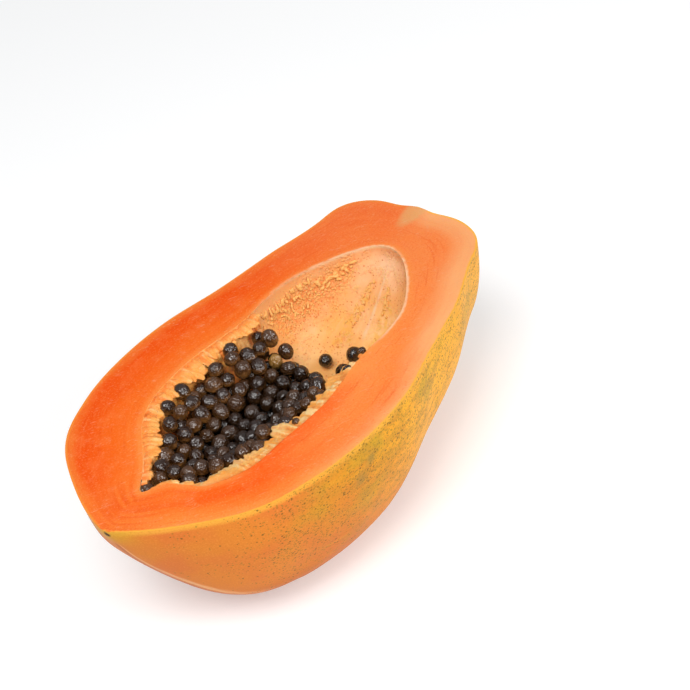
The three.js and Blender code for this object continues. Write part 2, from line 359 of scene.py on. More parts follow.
def edge_place(points, side):
    """Place along the mouth's edge that each point lies straight in from, for ridges square to the edge."""
    x = points[:, 0]
    reach = edge_reach(x, side)
    slope = np.clip((edge_reach(x + 0.5, side) - reach) / 0.5, -1.2, 1.2)
    depth = reach - np.abs(off_middle(points))
    return x - depth * slope / (1 + slope * slope)


def ridges(points, side, draw):
    """Uneven ridges square to the mouth's edge, from -1 to 1."""
    along = edge_place(points, side) + 40 * side
    depth = points[:, 1] * 0.16
    lines = np.stack([along, depth, points[:, 2] * 0.12], -1)
    return 0.85 * rough(lines, 1.9, draw) + 0.35 * rough(lines, 0.75, draw + 1)


def frame_shift():
    """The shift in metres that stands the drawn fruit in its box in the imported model."""
    outline = skin_points(np.linspace(-1, 1, 401)[:, None], np.linspace(0, math.pi, 181)[None, :])
    low, high = outline.reshape(-1, 3).min(0), outline.reshape(-1, 3).max(0)
    middle = (np.array(FRUIT_BOX[0]) + np.array(FRUIT_BOX[1])) / 2
    return np.array([*(middle - MM * (low + high) / 2)[:2], FRUIT_BOX[1][2]])


FRAME_SHIFT = frame_shift()


def in_frame(points):
    """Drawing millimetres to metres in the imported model's frame."""
    return np.asarray(points) * MM + FRAME_SHIFT


def both_edges(outline):
    """Close points along both edges of the skin or the lining, where the cut face meets it."""
    ends = np.linspace(-1, 1, EDGE_POINTS)
    return np.concatenate([outline(ends, 0 * ends), outline(ends, 0 * ends + math.pi)])


# ---- Small modelling helpers ----
def select_only(piece):
    bpy.ops.object.select_all(action="DESELECT")
    piece.select_set(True)
    bpy.context.view_layer.objects.active = piece


def set_places(mesh, places):
    mesh.vertices.foreach_set("co", np.asarray(places, np.float32).ravel())
    mesh.update()


def get_places(mesh):
    places = np.empty(len(mesh.vertices) * 3, np.float32)
    mesh.vertices.foreach_get("co", places)
    return places.reshape(-1, 3).astype(float)


def store(mesh, name, values):
    """Keeps one number, or one vector, for each vertex."""
    values = np.asarray(values, np.float32)
    kind, key = ("FLOAT", "value") if values.ndim == 1 else ("FLOAT_VECTOR", "vector")
    mesh.attributes.new(name, kind, "POINT").data.foreach_set(key, values.ravel())


def close_up(piece, gap):
    """Merges doubled points and turns all faces outwards."""
    select_only(piece)
    bpy.ops.object.mode_set(mode="EDIT")
    bpy.ops.mesh.select_all(action="SELECT")
    bpy.ops.mesh.remove_doubles(threshold=gap)
    bpy.ops.mesh.normals_make_consistent(inside=False)
    bpy.ops.object.mode_set(mode="OBJECT")


def settle_faces(mesh):
    """Sorts faces by their corners: Blender's sphere has them in another order on every run."""
    form = bmesh.new()
    form.from_mesh(mesh)
    by_corners = sorted(form.faces, key=lambda face: sorted(corner.index for corner in face.verts))
    ranks = {face: rank for rank, face in enumerate(by_corners)}
    form.faces.sort(key=ranks.get)
    form.to_mesh(mesh)
    form.free()


def joined(copies, name):
    """Joins copies in one object of that name."""
    bpy.ops.object.select_all(action="DESELECT")
    for copy in copies:
        copy.select_set(True)
    bpy.context.view_layer.objects.active = copies[0]
    if len(copies) > 1:
        bpy.ops.object.join()
    piece = bpy.context.view_layer.objects.active
    piece.name = piece.data.name = name
    return piece


def finish_piece(piece, slot, *nodes):
    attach(piece, "root")
    if nodes:
        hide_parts(*nodes)


def distance_to_line(points, line):
    """Distance from each point to the nearest point of a dense line, in the plane of the cut."""
    gaps = np.empty(len(points))
    batch = 4000
    for start in range(0, len(points), batch):
        part = points[start : start + batch, None, :2] - line[None, :, :2]
        gaps[start : start + batch] = np.sqrt((part**2).sum(-1).min(1))
    return gaps


# ---- Materials ----
def paint(code):
    """The numbers that shaders take for a colour that shows as six hex digits under the stage's lights."""
    parts = [int(code[i : i + 2], 16) / 255 for i in (0, 2, 4)]
    linear = [p / 12.92 if p <= 0.04045 else ((p + 0.055) / 1.055) ** 2.4 for p in parts]
    return [p / STAGE_LIGHT for p in linear] + [1]


def shade(name, description, code):
    """A colour that the user can change."""
    return FloatVectorProperty(
        name=name, description=description, subtype="COLOR", size=4, default=paint(code)
    )


def span(name, description, default, low, high):
    """A length in metres that the user can change."""
    return FloatProperty(
        name=name, description=description, unit="LENGTH", default=default, min=low, max=high
    )


class Graph:
    """Adds and links the nodes of one material or node group, and keeps the colour that is laid so far."""

    def __init__(self, tree):
        self.tree = tree
        self.tree.nodes.clear()
        self.colour = None

    def add(self, kind, **settings):
        made = self.tree.nodes.new(kind)
        row, column = divmod(len(self.tree.nodes), NODES_PER_ROW)
        made.location = (NODE_STEP[0] * column, -NODE_STEP[1] * row)
        for key, value in settings.items():
            setattr(made, key, value)
        return made

    def feed(self, socket, value):
        if isinstance(value, bpy.types.NodeSocket):
            self.tree.links.new(value, socket)
        else:
            socket.default_value = value

    def math(self, operation, a, b=0.0, clamp=False):
        made = self.add("ShaderNodeMath", operation=operation, use_clamp=clamp)
        self.feed(made.inputs[0], a)
        self.feed(made.inputs[1], b)
        return made.outputs[0]

    def times(self, a, *others):
        for other in others:
            a = self.math("MULTIPLY", a, other)
        return a

    def plus(self, a, *others):
        for other in others:
            a = self.math("ADD", a, other)
        return a

    def minus(self, a, b, clamp=False):
        return self.math("SUBTRACT", a, b, clamp)

    def mix(self, share, a, b, blend="MIX"):
        made = self.add("ShaderNodeMix", data_type="RGBA", blend_type=blend)
        self.feed(made.inputs[0], share)
        self.feed(made.inputs[6], a)
        self.feed(made.inputs[7], b)
        return made.outputs[2]

    def lay(self, share, top):
        """Lays a colour, or six hex digits, over the colour so far, by share."""
        self.colour = self.mix(share, self.colour, paint(top) if isinstance(top, str) else top)

    def ramp(self, value, stops):
        made = self.add("ShaderNodeValToRGB")
        self.feed(made.inputs[0], value)
        stripe = made.color_ramp
        while len(stripe.elements) < len(stops):
            stripe.elements.new(1)
        for element, (place, colour) in zip(stripe.elements, stops):
            element.position = place
            element.color = paint(colour)
        return made.outputs[0]

    def ranged(self, value, low, high, start=0.0, end=1.0, kind="SMOOTHSTEP"):
        made = self.add("ShaderNodeMapRange", interpolation_type=kind, clamp=True)
        for socket, number in zip(made.inputs[:5], (value, low, high, start, end)):
            self.feed(socket, number)
        return made.outputs[0]

    def mapped(self, vector, scale, shift=(0, 0, 0), turn=(0, 0, 0)):
        made = self.add("ShaderNodeMapping")
        self.feed(made.inputs["Vector"], vector)
        made.inputs["Scale"].default_value = scale
        made.inputs["Location"].default_value = shift
        made.inputs["Rotation"].default_value = turn
        return made.outputs[0]

    def noise(self, vector, scale, detail=2.0, roughness=0.5, distortion=0.0):
        made = self.add("ShaderNodeTexNoise")
        self.feed(made.inputs["Vector"], vector)
        made.inputs["Scale"].default_value = scale
        made.inputs["Detail"].default_value = detail
        made.inputs["Roughness"].default_value = roughness
        made.inputs["Distortion"].default_value = distortion
        return made.outputs[0]

    def attribute(self, name):
        return self.add("ShaderNodeAttribute", attribute_name=name)

    def measure(self, name):
        """A number that the mesh holds at each of its points."""
        return self.attribute(name).outputs["Fac"]

    def millimetres(self):
        """Object coordinates in millimetres."""
        return self.mapped(self.add("ShaderNodeTexCoord").outputs["Object"], (1 / MM, 1 / MM, 1 / MM))

    def flow(self):
        """The way along and round the fruit, in millimetres."""
        shares = self.add("ShaderNodeUVMap", uv_map="flow").outputs[0]
        return self.mapped(shares, (2 * HALF_LENGTH, FLOW_AROUND, 1))

    def axes(self, vector):
        """The x, y and z of a vector."""
        parts = self.add("ShaderNodeSeparateXYZ")
        self.feed(parts.inputs[0], vector)
        return tuple(parts.outputs)

    def length(self, vector):
        made = self.add("ShaderNodeVectorMath", operation="LENGTH")
        self.feed(made.inputs[0], vector)
        return made.outputs["Value"]

    def placed(self, group, vector, **numbers):
        made = self.add("ShaderNodeGroup", node_tree=group)
        self.feed(made.inputs["Vector"], vector)
        for key, value in numbers.items():
            self.feed(made.inputs[key.replace("_", " ").capitalize()], value)
        return made.outputs[0]

    def bump(self, height, distance, strength):
        made = self.add("ShaderNodeBump")
        made.inputs["Strength"].default_value = strength
        made.inputs["Distance"].default_value = distance
        self.feed(made.inputs["Height"], height)
        return made.outputs[0]

    def surface(self, colour, roughness, normal, **constants):
        """The material's own shader, with its plain settings as constants."""
        shader = self.add("ShaderNodeBsdfPrincipled")
        self.feed(shader.inputs["Base Color"], colour)
        self.feed(shader.inputs["Roughness"], roughness)
        if normal is not None:
            self.feed(shader.inputs["Normal"], normal)
        for key, value in constants.items():
            shader.inputs[key.replace("_", " ")].default_value = value
        output = self.add("ShaderNodeOutputMaterial")
        self.tree.links.new(shader.outputs[0], output.inputs["Surface"])


def new_group(name, inputs):
    """An empty group that takes a vector and named numbers and gives a mask."""
    tree = bpy.data.node_groups.new(name, "ShaderNodeTree")
    graph = Graph(tree)
    tree.interface.new_socket("Vector", in_out="INPUT", socket_type="NodeSocketVector")
    for key, default in inputs.items():
        tree.interface.new_socket(key, in_out="INPUT", socket_type="NodeSocketFloat").default_value = default
    tree.interface.new_socket("Mask", in_out="OUTPUT", socket_type="NodeSocketFloat")
    return graph, graph.add("NodeGroupInput"), graph.add("NodeGroupOutput")


def mottle_group():
    """Soft cloudy patches: lumps of Size millimetres, 0 below Low and 1 above High."""
    if "mottle" in bpy.data.node_groups:
        return bpy.data.node_groups["mottle"]
    graph, given, result = new_group("mottle", {"Size": 10.0, "Low": 0.4, "High": 0.6})
    cloud = graph.add("ShaderNodeTexNoise")
    graph.feed(cloud.inputs["Vector"], given.outputs["Vector"])
    graph.feed(cloud.inputs["Scale"], graph.math("DIVIDE", 1.0, given.outputs["Size"]))
    cloud.inputs["Detail"].default_value = 3
    mask = graph.ranged(cloud.outputs[0], given.outputs["Low"], given.outputs["High"])
    graph.feed(result.inputs[0], mask)
    return graph.tree


def specks_group():
    """Scattered specks on a lattice of Size millimetres: Share of its cells hold one, of Radius in cells."""
    if "specks" in bpy.data.node_groups:
        return bpy.data.node_groups["specks"]
    graph, given, result = new_group("specks", {"Size": 2.0, "Share": 0.4, "Radius": 0.3})
    cells = graph.add("ShaderNodeTexVoronoi")
    graph.feed(cells.inputs["Vector"], given.outputs["Vector"])
    graph.feed(cells.inputs["Scale"], graph.math("DIVIDE", 1.0, given.outputs["Size"]))
    draws = graph.add("ShaderNodeSeparateColor")
    graph.feed(draws.inputs[0], cells.outputs["Color"])
    chosen = graph.math("LESS_THAN", draws.outputs[0], given.outputs["Share"])
    radius = graph.times(given.outputs["Radius"], graph.ranged(draws.outputs[1], 0, 1, 0.5, 1.3, "LINEAR"))
    fade = graph.math("DIVIDE", cells.outputs["Distance"], radius)
    spot = graph.ranged(fade, 1.0, 0.5)
    graph.feed(result.inputs[0], graph.times(chosen, spot))
    return graph.tree


def new_material(name):
    material = bpy.data.materials.new(name)
    material.use_nodes = True
    return material, Graph(material.node_tree)


def skin_material(settings):
    """Satin skin: orange at the blossom end and yellow towards the stem, with green blotches and dots,
    painted light on the stem side, painted shade on the low belly, and a painted highlight with painted shade
    beneath along the crease.
    """
    material, g = new_material("papaya_skin")
    place, flow = g.millimetres(), g.flow()
    x, _, z = g.axes(place)
    mottle, specks = mottle_group(), specks_group()
    wander = g.times(g.minus(g.noise(place, 1 / 20, 3), 0.5), 46.0)
    stemward = g.ranged(g.plus(x, wander), -68, -20)
    high = g.ranged(g.plus(z, wander), 18, 60)
    ripe = g.mix(g.placed(mottle, place, size=22, low=0.36, high=0.66), settings.ripe, settings.blush)
    yellow = g.mix(g.placed(mottle, place, size=13, low=0.35, high=0.66), settings.yellow, settings.amber)
    g.colour = g.mix(g.times(stemward, g.times(high, 0.92)), ripe, yellow)
    low = g.times(g.ranged(z, 38, 8), g.placed(mottle, place, size=30, low=0.3, high=0.6))
    g.lay(g.times(low, 0.6), settings.rose)
    # Painted shade: the low belly darkens, more towards the blossom end
    g.lay(g.times(g.ranged(z, 30, 8), g.ranged(x, -10, -60, 0.0, 0.8)), "BC6024")
    # Painted light: brightens the skin towards the stem and up its side, past what paint allows
    g.lay(g.times(g.ranged(x, -42, 30), g.ranged(z, 4, 40), 0.85), LIT_SKIN)
    streaks = g.noise(g.mapped(flow, (0.1, 1, 1)), 1 / 2.2, 4, 0.66)
    g.lay(g.times(g.ranged(streaks, 0.52, 0.68, 0, 0.6), stemward), "CF7C26")
    g.lay(g.times(g.ranged(streaks, 0.47, 0.32, 0, 0.55), stemward), settings.gold)
    green = g.placed(mottle, g.mapped(place, (0.7, 1, 1), (31, 7, 4)), size=15, low=0.46, high=0.66)
    g.lay(g.times(green, stemward, g.ranged(z, 34, 60), g.ranged(x, 0, 50, 0.6, 0.35)), settings.green)
    for spot, reach in BLOTCHES:
        away = g.length(g.mapped(place, (1, 1, 1), [-part for part in spot]))
        ragged = g.plus(away, g.times(g.noise(place, 1 / 2.5, 4, 0.7), reach * 1.6))
        g.lay(g.ranged(ragged, reach * 2, reach * 0.9, 0, 0.6), settings.blotch)
    g.lay(g.ranged(z, REST_HEIGHT - 3.2, REST_HEIGHT - 0.6, 0, 0.75), settings.rim)
    g.lay(g.times(g.ranged(x, -96, -102), g.ranged(z, 62, 70), 0.6), "E0AC2C")
    # Painted shade in the strip below the crease, and a painted highlight along its crest
    crease = g.measure("crease")
    g.lay(g.ranged(crease, 0, -0.7, 0, 0.85), "C8641A")
    g.lay(g.ranged(crease, 0.05, 0.7, 0, 0.75), "FFC48A")
    tan = g.placed(mottle, g.mapped(place, (0.6, 1, 1), (5, 2, 8)), size=4.5, low=0.42, high=0.6)
    g.lay(g.times(tan, stemward, g.ranged(x, 10, 50, 0.4, 0.2)), "BE8A34")
    clouds = g.placed(mottle, place, size=9, low=0.2, high=0.5)
    crowd = g.times(clouds, g.ranged(g.plus(x, wander), -88, -58), g.ranged(z, 8, 52, 0.12, 1))
    large = g.times(crowd, 0.85)
    dots = g.placed(specks, g.mapped(place, (0.75, 1, 1), (9, 3, 5)), size=1.3, share=large, radius=0.33)
    fine_dots = g.placed(specks, g.mapped(place, (0.8, 1, 1)), size=0.85, share=crowd, radius=0.46)
    stemmost = g.times(crowd, g.ranged(x, -10, 30), 0.5)
    dashes = g.placed(specks, g.mapped(flow, (0.32, 1, 1)), size=1.0, share=stemmost, radius=0.32)
    g.lay(g.times(fine_dots, 0.6), settings.speckle)
    g.lay(g.times(dashes, 0.6), settings.speckle)
    g.lay(g.times(dots, 0.85), "5C5220")
    grain = g.noise(place, 1 / 0.7, 4, 0.62)
    g.lay(g.ranged(grain, 0.58, 0.3, 0, 0.25), "C06E22")
    g.lay(g.ranged(grain, 0.52, 0.74, 0, 0.25), "F7B45C")
    across = g.length(g.mapped(place, (0, 1, 1), (0, -AXIS_Y, -REST_HEIGHT)))
    scar = g.times(g.ranged(across, 9, 6.5), g.ranged(x, 88, 94))
    ring = g.times(g.ranged(across, 24, 9), g.ranged(x, 84, 92))
    g.lay(g.times(g.minus(ring, scar, True), 0.55), "8F9438")
    g.lay(scar, g.mix(g.noise(place, 1 / 0.9, 5, 0.7), paint("3E2B17"), paint("A1814F")))
    g.lay(g.measure("blossom"), "1D140D")
    pores = g.plus(g.times(g.noise(place, 1 / 0.9, 3), 0.35), g.noise(place, 1 / 5, 3))
    bark = g.times(scar, g.noise(place, 1 / 1.4, 4), 5)
    height = g.plus(g.minus(pores, g.times(dots, 0.5)), bark)
    roughness = g.plus(g.ranged(grain, 0.3, 0.7, 0.38, 0.5), g.times(scar, 0.35))
    g.surface(g.colour, roughness, g.bump(height, 0.00014, 0.5), Specular_IOR_Level=0.05)
    return material


def flesh_material(settings):
    """Wet orange flesh of the cut face: redder inwards, paler at the near rim with a painted highlight there,
    with streaks and fibres and a painted highlight along the mouth's lip.
    """
    material, g = new_material("cut_flesh")
    place, flow = g.millimetres(), g.flow()
    x, _, _ = g.axes(place)
    rim, mouth, near = g.measure("rim"), g.measure("mouth"), g.measure("near")
    drift = g.times(g.minus(g.noise(g.mapped(flow, (0.3, 1, 1)), 1 / 7, 3), 0.5), 8.0)
    depth = g.times(g.plus(rim, drift), 1 / STRIP_DEPTH)
    stemward = g.ranged(g.plus(x, g.times(drift, 2.0)), -66, -14)
    near_strip = g.mix(stemward, g.ramp(depth, BLOSSOM_STRIP), g.ramp(depth, STEM_STRIP))
    g.colour = g.mix(near, g.ramp(depth, FAR_STRIP), near_strip)
    g.lay(g.ranged(g.plus(x, drift), 25, 80, 0, 0.65), "FB8446")
    from_slit = g.length(g.mapped(place, (0.8, 1, 0), (74.5, -1, 0)))
    fan = g.noise(g.mapped(flow, (0.1, 1, 1)), 1 / 2.4, 3, 0.6)
    g.lay(g.ranged(from_slit, 30, 10, 0, 0.5), "FC8434")
    g.lay(g.times(g.ranged(from_slit, 20, 4), g.ranged(fan, 0.38, 0.6, 0, 1), 0.5), settings.deep)
    beside_seeds = g.times(near, g.times(g.ranged(x, -66, -50), g.ranged(x, 10, -14)))
    redder = g.times(g.ranged(g.plus(mouth, drift), 13, 2), beside_seeds)
    g.lay(g.times(redder, 0.75), "FA5C16")
    streaks = g.noise(g.mapped(flow, (0.08, 1, 1)), 1 / 1.5, 4, 0.62)
    g.lay(g.ranged(streaks, 0.52, 0.74, 0, 0.22), "FF9A50")
    g.lay(g.ranged(streaks, 0.47, 0.28, 0, 0.4), settings.deep)
    plainer = g.mix(0.25, g.colour, settings.flesh)
    g.lay(g.placed(mottle_group(), place, size=8, low=0.45, high=0.68), plainer)
    beside = g.ranged(g.plus(mouth, g.times(drift, 0.2)), 3.6, 0.2, 0, 0.6)
    g.lay(g.times(beside, g.minus(1.0, beside_seeds)), settings.inner)
    turned = g.mapped(place, (1, 1, 1), (0, 0, 0), (0, 0, math.radians(38)))
    fibres = g.noise(g.mapped(turned, (0.2, 1.3, 1)), 1 / 0.9, 3, 0.55, 1.6)
    threads = g.times(g.ranged(fibres, 0.58, 0.68), g.ranged(g.noise(place, 1 / 4, 2), 0.46, 0.6))
    g.lay(g.times(threads, 0.45), "FFB888")
    grain = g.noise(place, 1 / 0.8, 4, 0.7)
    g.lay(g.ranged(grain, 0.52, 0.72, 0, 0.45), "FFA468")
    g.lay(g.ranged(grain, 0.48, 0.28, 0, 0.42), settings.deep)
    # Partly painted highlight: paler flesh just inside the near rim towards the stem, brightened as a soft
    # highlight
    g.lay(g.times(near, g.ranged(x, 0, 40), g.ranged(depth, 0.42, 0.05), 0.6), "FFBC7E")
    # Painted highlight along the mouth's lip
    lip = g.ranged(g.plus(mouth, g.times(g.noise(place, 1 / 2, 3), 1.2)), 2.1, 1.0)
    broken = g.ranged(g.noise(place, 1 / 6, 2), 0.36, 0.5, 0.35, 1)
    strength = g.math("MAXIMUM", g.times(near, 0.6), g.ranged(x, 42, 62, 0.25, 0.7))
    g.lay(g.times(lip, g.times(g.ranged(x, 16, 34), broken), strength), "FFD8B0")
    edge = g.plus(rim, g.times(g.minus(g.noise(place, 1 / 3), 0.5), 0.7))
    g.lay(g.ranged(edge, 1.25, 0.25), g.mix(near, paint("F5933C"), settings.rim))
    from_stem = g.length(g.mapped(place, (0.35, 1, 0), (-35.5, -AXIS_Y, 0)))
    g.lay(g.times(g.ranged(g.plus(from_stem, g.times(streaks, 3)), 7.2, 4.6), 0.6), "E8B070")
    wet = g.plus(g.noise(place, 1 / 1.1, 3, 0.6), g.times(threads, 0.35))
    height = g.plus(wet, g.times(fan, 0.3))
    g.surface(
        g.colour,
        g.ranged(grain, 0.3, 0.7, 0.36, 0.55),
        g.bump(height, 0.0003, 0.5),
        Specular_IOR_Level=0.05,
        Subsurface_Weight=0.15,
        Subsurface_Radius=(1, 0.3, 0.1),
        Subsurface_Scale=0.002,
    )
    return material


def pulp_group():
    """Colour of torn pulp: deeper at its roots, with pale and golden patches, painted shade in its folds and
    a painted highlight on its ridges.
    """
    if "pulp_colour" in bpy.data.node_groups:
        return bpy.data.node_groups["pulp_colour"]
    tree = bpy.data.node_groups.new("pulp_colour", "ShaderNodeTree")
    g = Graph(tree)
    tree.interface.new_socket("Vector", in_out="INPUT", socket_type="NodeSocketVector")
    for key in ("Pale", "Golden", "Root"):
        tree.interface.new_socket(key, in_out="INPUT", socket_type="NodeSocketColor")
    for key in ("Fold", "Reach"):
        tree.interface.new_socket(key, in_out="INPUT", socket_type="NodeSocketFloat")
    tree.interface.new_socket("Colour", in_out="OUTPUT", socket_type="NodeSocketColor")
    given, result = g.add("NodeGroupInput").outputs, g.add("NodeGroupOutput")
    place = given["Vector"]
    g.colour = g.mix(g.ranged(g.noise(place, 1 / 3.5, 3), 0.38, 0.62), given["Pale"], given["Golden"])
    root = g.ranged(g.plus(given["Reach"], g.times(g.noise(place, 1 / 2.2, 3), 5.0)), 7.4, 2.2)
    g.lay(root, given["Root"])
    # Painted shade in the folds and a painted highlight on the ridges
    g.lay(g.ranged(given["Fold"], -0.1, -0.5, 0, 0.8), "F08234")
    g.lay(g.ranged(given["Fold"], 0.15, 0.5, 0, 0.55), "FFCE8A")
    grain = g.noise(place, 1 / 0.9, 3, 0.65)
    g.lay(g.ranged(grain, 0.55, 0.72, 0, 0.35), "FFDCA0")
    g.lay(g.ranged(grain, 0.45, 0.3, 0, 0.35), "F09040")
    g.feed(result.inputs[0], g.colour)
    return tree


def lining_material(settings):
    """Pale wall of the cavity: pinker at its round end, with red-brown dots, crumbs and golden clouds, and
    covered by torn pulp beside the seeds. Painted light brightens its round end and deep floor; painted shade
    lies under the torn pulp and between its granules; painted highlights run along a rib and the mouth's lip."""
    material, g = new_material("cavity_lining")
    place, flow = g.millimetres(), g.flow()
    x, _, z = g.axes(place)
    mouth, round_way = g.measure("mouth"), g.measure("round_way")
    mottle, specks = mottle_group(), specks_group()
    g.colour = g.mix(g.placed(mottle, place, size=11, low=0.36, high=0.66), settings.pale, settings.gold_wall)
    # Partly painted light: the round end's own pink, brightened past paint to lift its shade
    g.lay(g.times(g.ranged(g.plus(x, g.times(g.noise(place, 1 / 9), 14)), 68, 84), 0.9), LIT_PINK_END)
    # Painted light on the deep floor of the cavity, lifting its shade
    g.lay(g.times(g.ranged(z, 58, 42), g.ranged(x, 12, 26), 0.7), LIT_CAVITY_FLOOR)
    # Painted highlight along the crest of one rib near the round end
    rib = g.ranged(g.math("ABSOLUTE", g.minus(round_way, RIB_ANGLES[0] / math.pi)), 0.016, 0.004)
    g.lay(g.times(rib, g.times(g.ranged(x, 42, 52), g.ranged(x, 74, 68)), 0.6), "FFDCB4")
    golden = g.placed(mottle, g.mapped(place, (1, 1, 1), (2, 6, 9)), size=14, low=0.42, high=0.62)
    g.lay(g.times(golden, g.ranged(x, 62, 50, 0, 0.6)), "FFB254")
    blush = g.placed(mottle, g.mapped(place, (1, 1, 1), (4, 11, 2)), size=12, low=0.4, high=0.62)
    g.lay(g.times(blush, 0.35), "FFAE6C")
    wandered = g.plus(round_way, g.times(g.noise(place, 1 / 6, 3), 0.1))
    from_band = g.math("ABSOLUTE", g.minus(wandered, STIPPLE_WAY))
    stippled = g.times(g.ranged(from_band, 0.13, 0.03), g.times(g.ranged(x, 20, 34), g.ranged(x, 72, 58)))
    crowd = g.math("MAXIMUM", g.times(blush, 0.35), stippled)
    g.lay(g.times(stippled, 0.6), "F8964A")
    wavering = g.plus(round_way, g.times(g.noise(place, 1 / 5, 3), 0.1))
    ragged = g.placed(mottle, g.mapped(place, (1, 1, 1), (3, 1, 6)), size=2.2, low=0.4, high=0.56)
    for way in CLOUD_WAYS:
        from_cloud = g.math("ABSOLUTE", g.minus(wavering, way))
        cloud = g.times(g.ranged(from_cloud, 0.05, 0.02), g.times(g.ranged(x, 34, 44), g.ranged(x, 68, 60)))
        g.lay(g.times(cloud, ragged, 0.65), "FFBE56")
    for size, shift, radius in ((0.9, 0, 0.42), (1.2, 5, 0.34), (1.0, 9, 0.38)):
        lattice = g.mapped(place, (1, 1, 1), (shift, shift, 1))
        dots = g.placed(specks, lattice, size=size, share=g.times(crowd, 0.7), radius=radius)
        g.lay(g.times(dots, 0.66), settings.stipple)
    patches = g.placed(mottle, g.mapped(place, (1, 1, 1), (8, 2, 5)), size=7, low=0.44, high=0.6)
    crumbly = g.math("MAXIMUM", g.times(patches, g.ranged(x, 16, 40, 0.3, 0.8)), stippled)
    stir = g.add("ShaderNodeTexNoise")
    g.feed(stir.inputs["Vector"], place)
    stir.inputs["Scale"].default_value = 0.9
    cells = g.add("ShaderNodeTexVoronoi")
    g.feed(cells.inputs["Vector"], g.mix(0.5, place, stir.outputs["Color"], "LINEAR_LIGHT"))
    cells.inputs["Scale"].default_value = 1 / 1.25
    granules = g.times(g.ranged(cells.outputs["Distance"], 0.62, 0.15), crumbly)
    g.lay(g.times(granules, 0.6), "FFC672")
    # Painted shade in the gaps between granules
    g.lay(g.times(g.ranged(cells.outputs["Distance"], 0.55, 0.85), crumbly, 0.55), "F08A48")
    lines = g.noise(g.mapped(flow, (0.05, 1, 1)), 1 / 1.3, 3, 0.6)
    g.lay(g.ranged(lines, 0.54, 0.72, 0, 0.3), "FFCB90")
    band = g.ranged(g.plus(mouth, g.times(g.noise(place, 1 / 4, 3), 3.0)), 7.5, 2.5)
    g.lay(g.times(band, g.ranged(x, 14, 30, 0, 0.7)), "FFAE70")
    # Painted highlight along the mouth's lip
    lip = g.times(g.ranged(mouth, 1.6, 0.3), g.ranged(x, 20, 56, 0.1, 0.8))
    g.lay(g.times(lip, g.ranged(x, 14, 20)), "FFD2A4")
    # Painted shade on the wall just under the overhanging torn pulp
    g.lay(g.times(g.ranged(x, 12, -6), g.ranged(z, 69, 60), 0.8), "F08232")
    torn = g.placed(
        pulp_group(),
        place,
        pale=settings.pulp,
        golden=settings.gold_pulp,
        root=settings.inner,
        fold=g.measure("fold"),
        reach=mouth,
    )
    g.lay(g.times(g.measure("pulp"), g.ranged(z, 61, 67)), torn)
    grain = g.noise(place, 1 / 0.6, 3, 0.6)
    height = g.plus(g.noise(place, 1 / 1.8, 3, 0.6), g.times(granules, 1.4), g.times(grain, 0.35))
    g.surface(
        g.colour,
        g.ranged(grain, 0.3, 0.7, 0.4, 0.58),
        g.bump(height, 0.0004, 0.6),
        Specular_IOR_Level=0.06,
        Subsurface_Weight=0.2,
        Subsurface_Radius=(1, 0.45, 0.16),
        Subsurface_Scale=0.002,
    )
    return material


def pulp_material(settings):
    """Moist torn pulp: its group's colour, with painted shade below the far edge, paler on top of the near
    one with painted shade and highlights along its strands, and painted light on the golden crumbs.
    """
    material, g = new_material("torn_pulp")
    place = g.millimetres()
    x, y, z = g.axes(place)
    reach, fold = g.measure("reach"), g.measure("fold")
    g.colour = g.placed(
        pulp_group(),
        place,
        pale=settings.pale,
        golden=settings.gold,
        root=settings.root,
        fold=fold,
        reach=reach,
    )
    # Painted shade: the pulp darkens lower down, under the edge
    g.lay(g.times(g.ranged(z, 68.5, 64), g.ranged(x, 18, 8), 0.6), "E87C2C")
    nearside = g.times(g.ranged(y, 4, -6), g.ranged(x, 30, 16))
    g.lay(g.times(nearside, 0.35), "FFC468")
    strands = g.plus(fold, g.times(g.minus(g.noise(place, 1 / 1.6, 3, 0.6), 0.5), 1.6))
    # Painted shade between the near sheet's strands and a painted highlight on them
    g.lay(g.times(nearside, g.ranged(strands, -0.05, -0.4, 0, 0.75)), "F0873A")
    g.lay(g.times(nearside, g.ranged(strands, 0.08, 0.42, 0, 0.6)), "FFDFA2")
    frill = g.ranged(g.plus(reach, g.times(g.noise(place, 1 / 2, 3), 5.0)), 6, 11)
    g.lay(g.times(nearside, frill, 0.4), "FFDC9A")
    # Partly painted light: the crumbs' own pale gold, laid bright to lift their shade
    g.lay(g.times(g.ranged(x, 18, 22), 0.8), "FFC676")
    lumps = g.noise(place, 1 / 1.3, 3, 0.6)
    g.surface(
        g.colour,
        g.ranged(lumps, 0.3, 0.7, 0.34, 0.52),
        g.bump(lumps, 0.0005, 0.6),
        Specular_IOR_Level=0.25,
        Subsurface_Weight=0.2,
        Subsurface_Radius=(1, 0.5, 0.2),
        Subsurface_Scale=0.0015,
    )
    return material


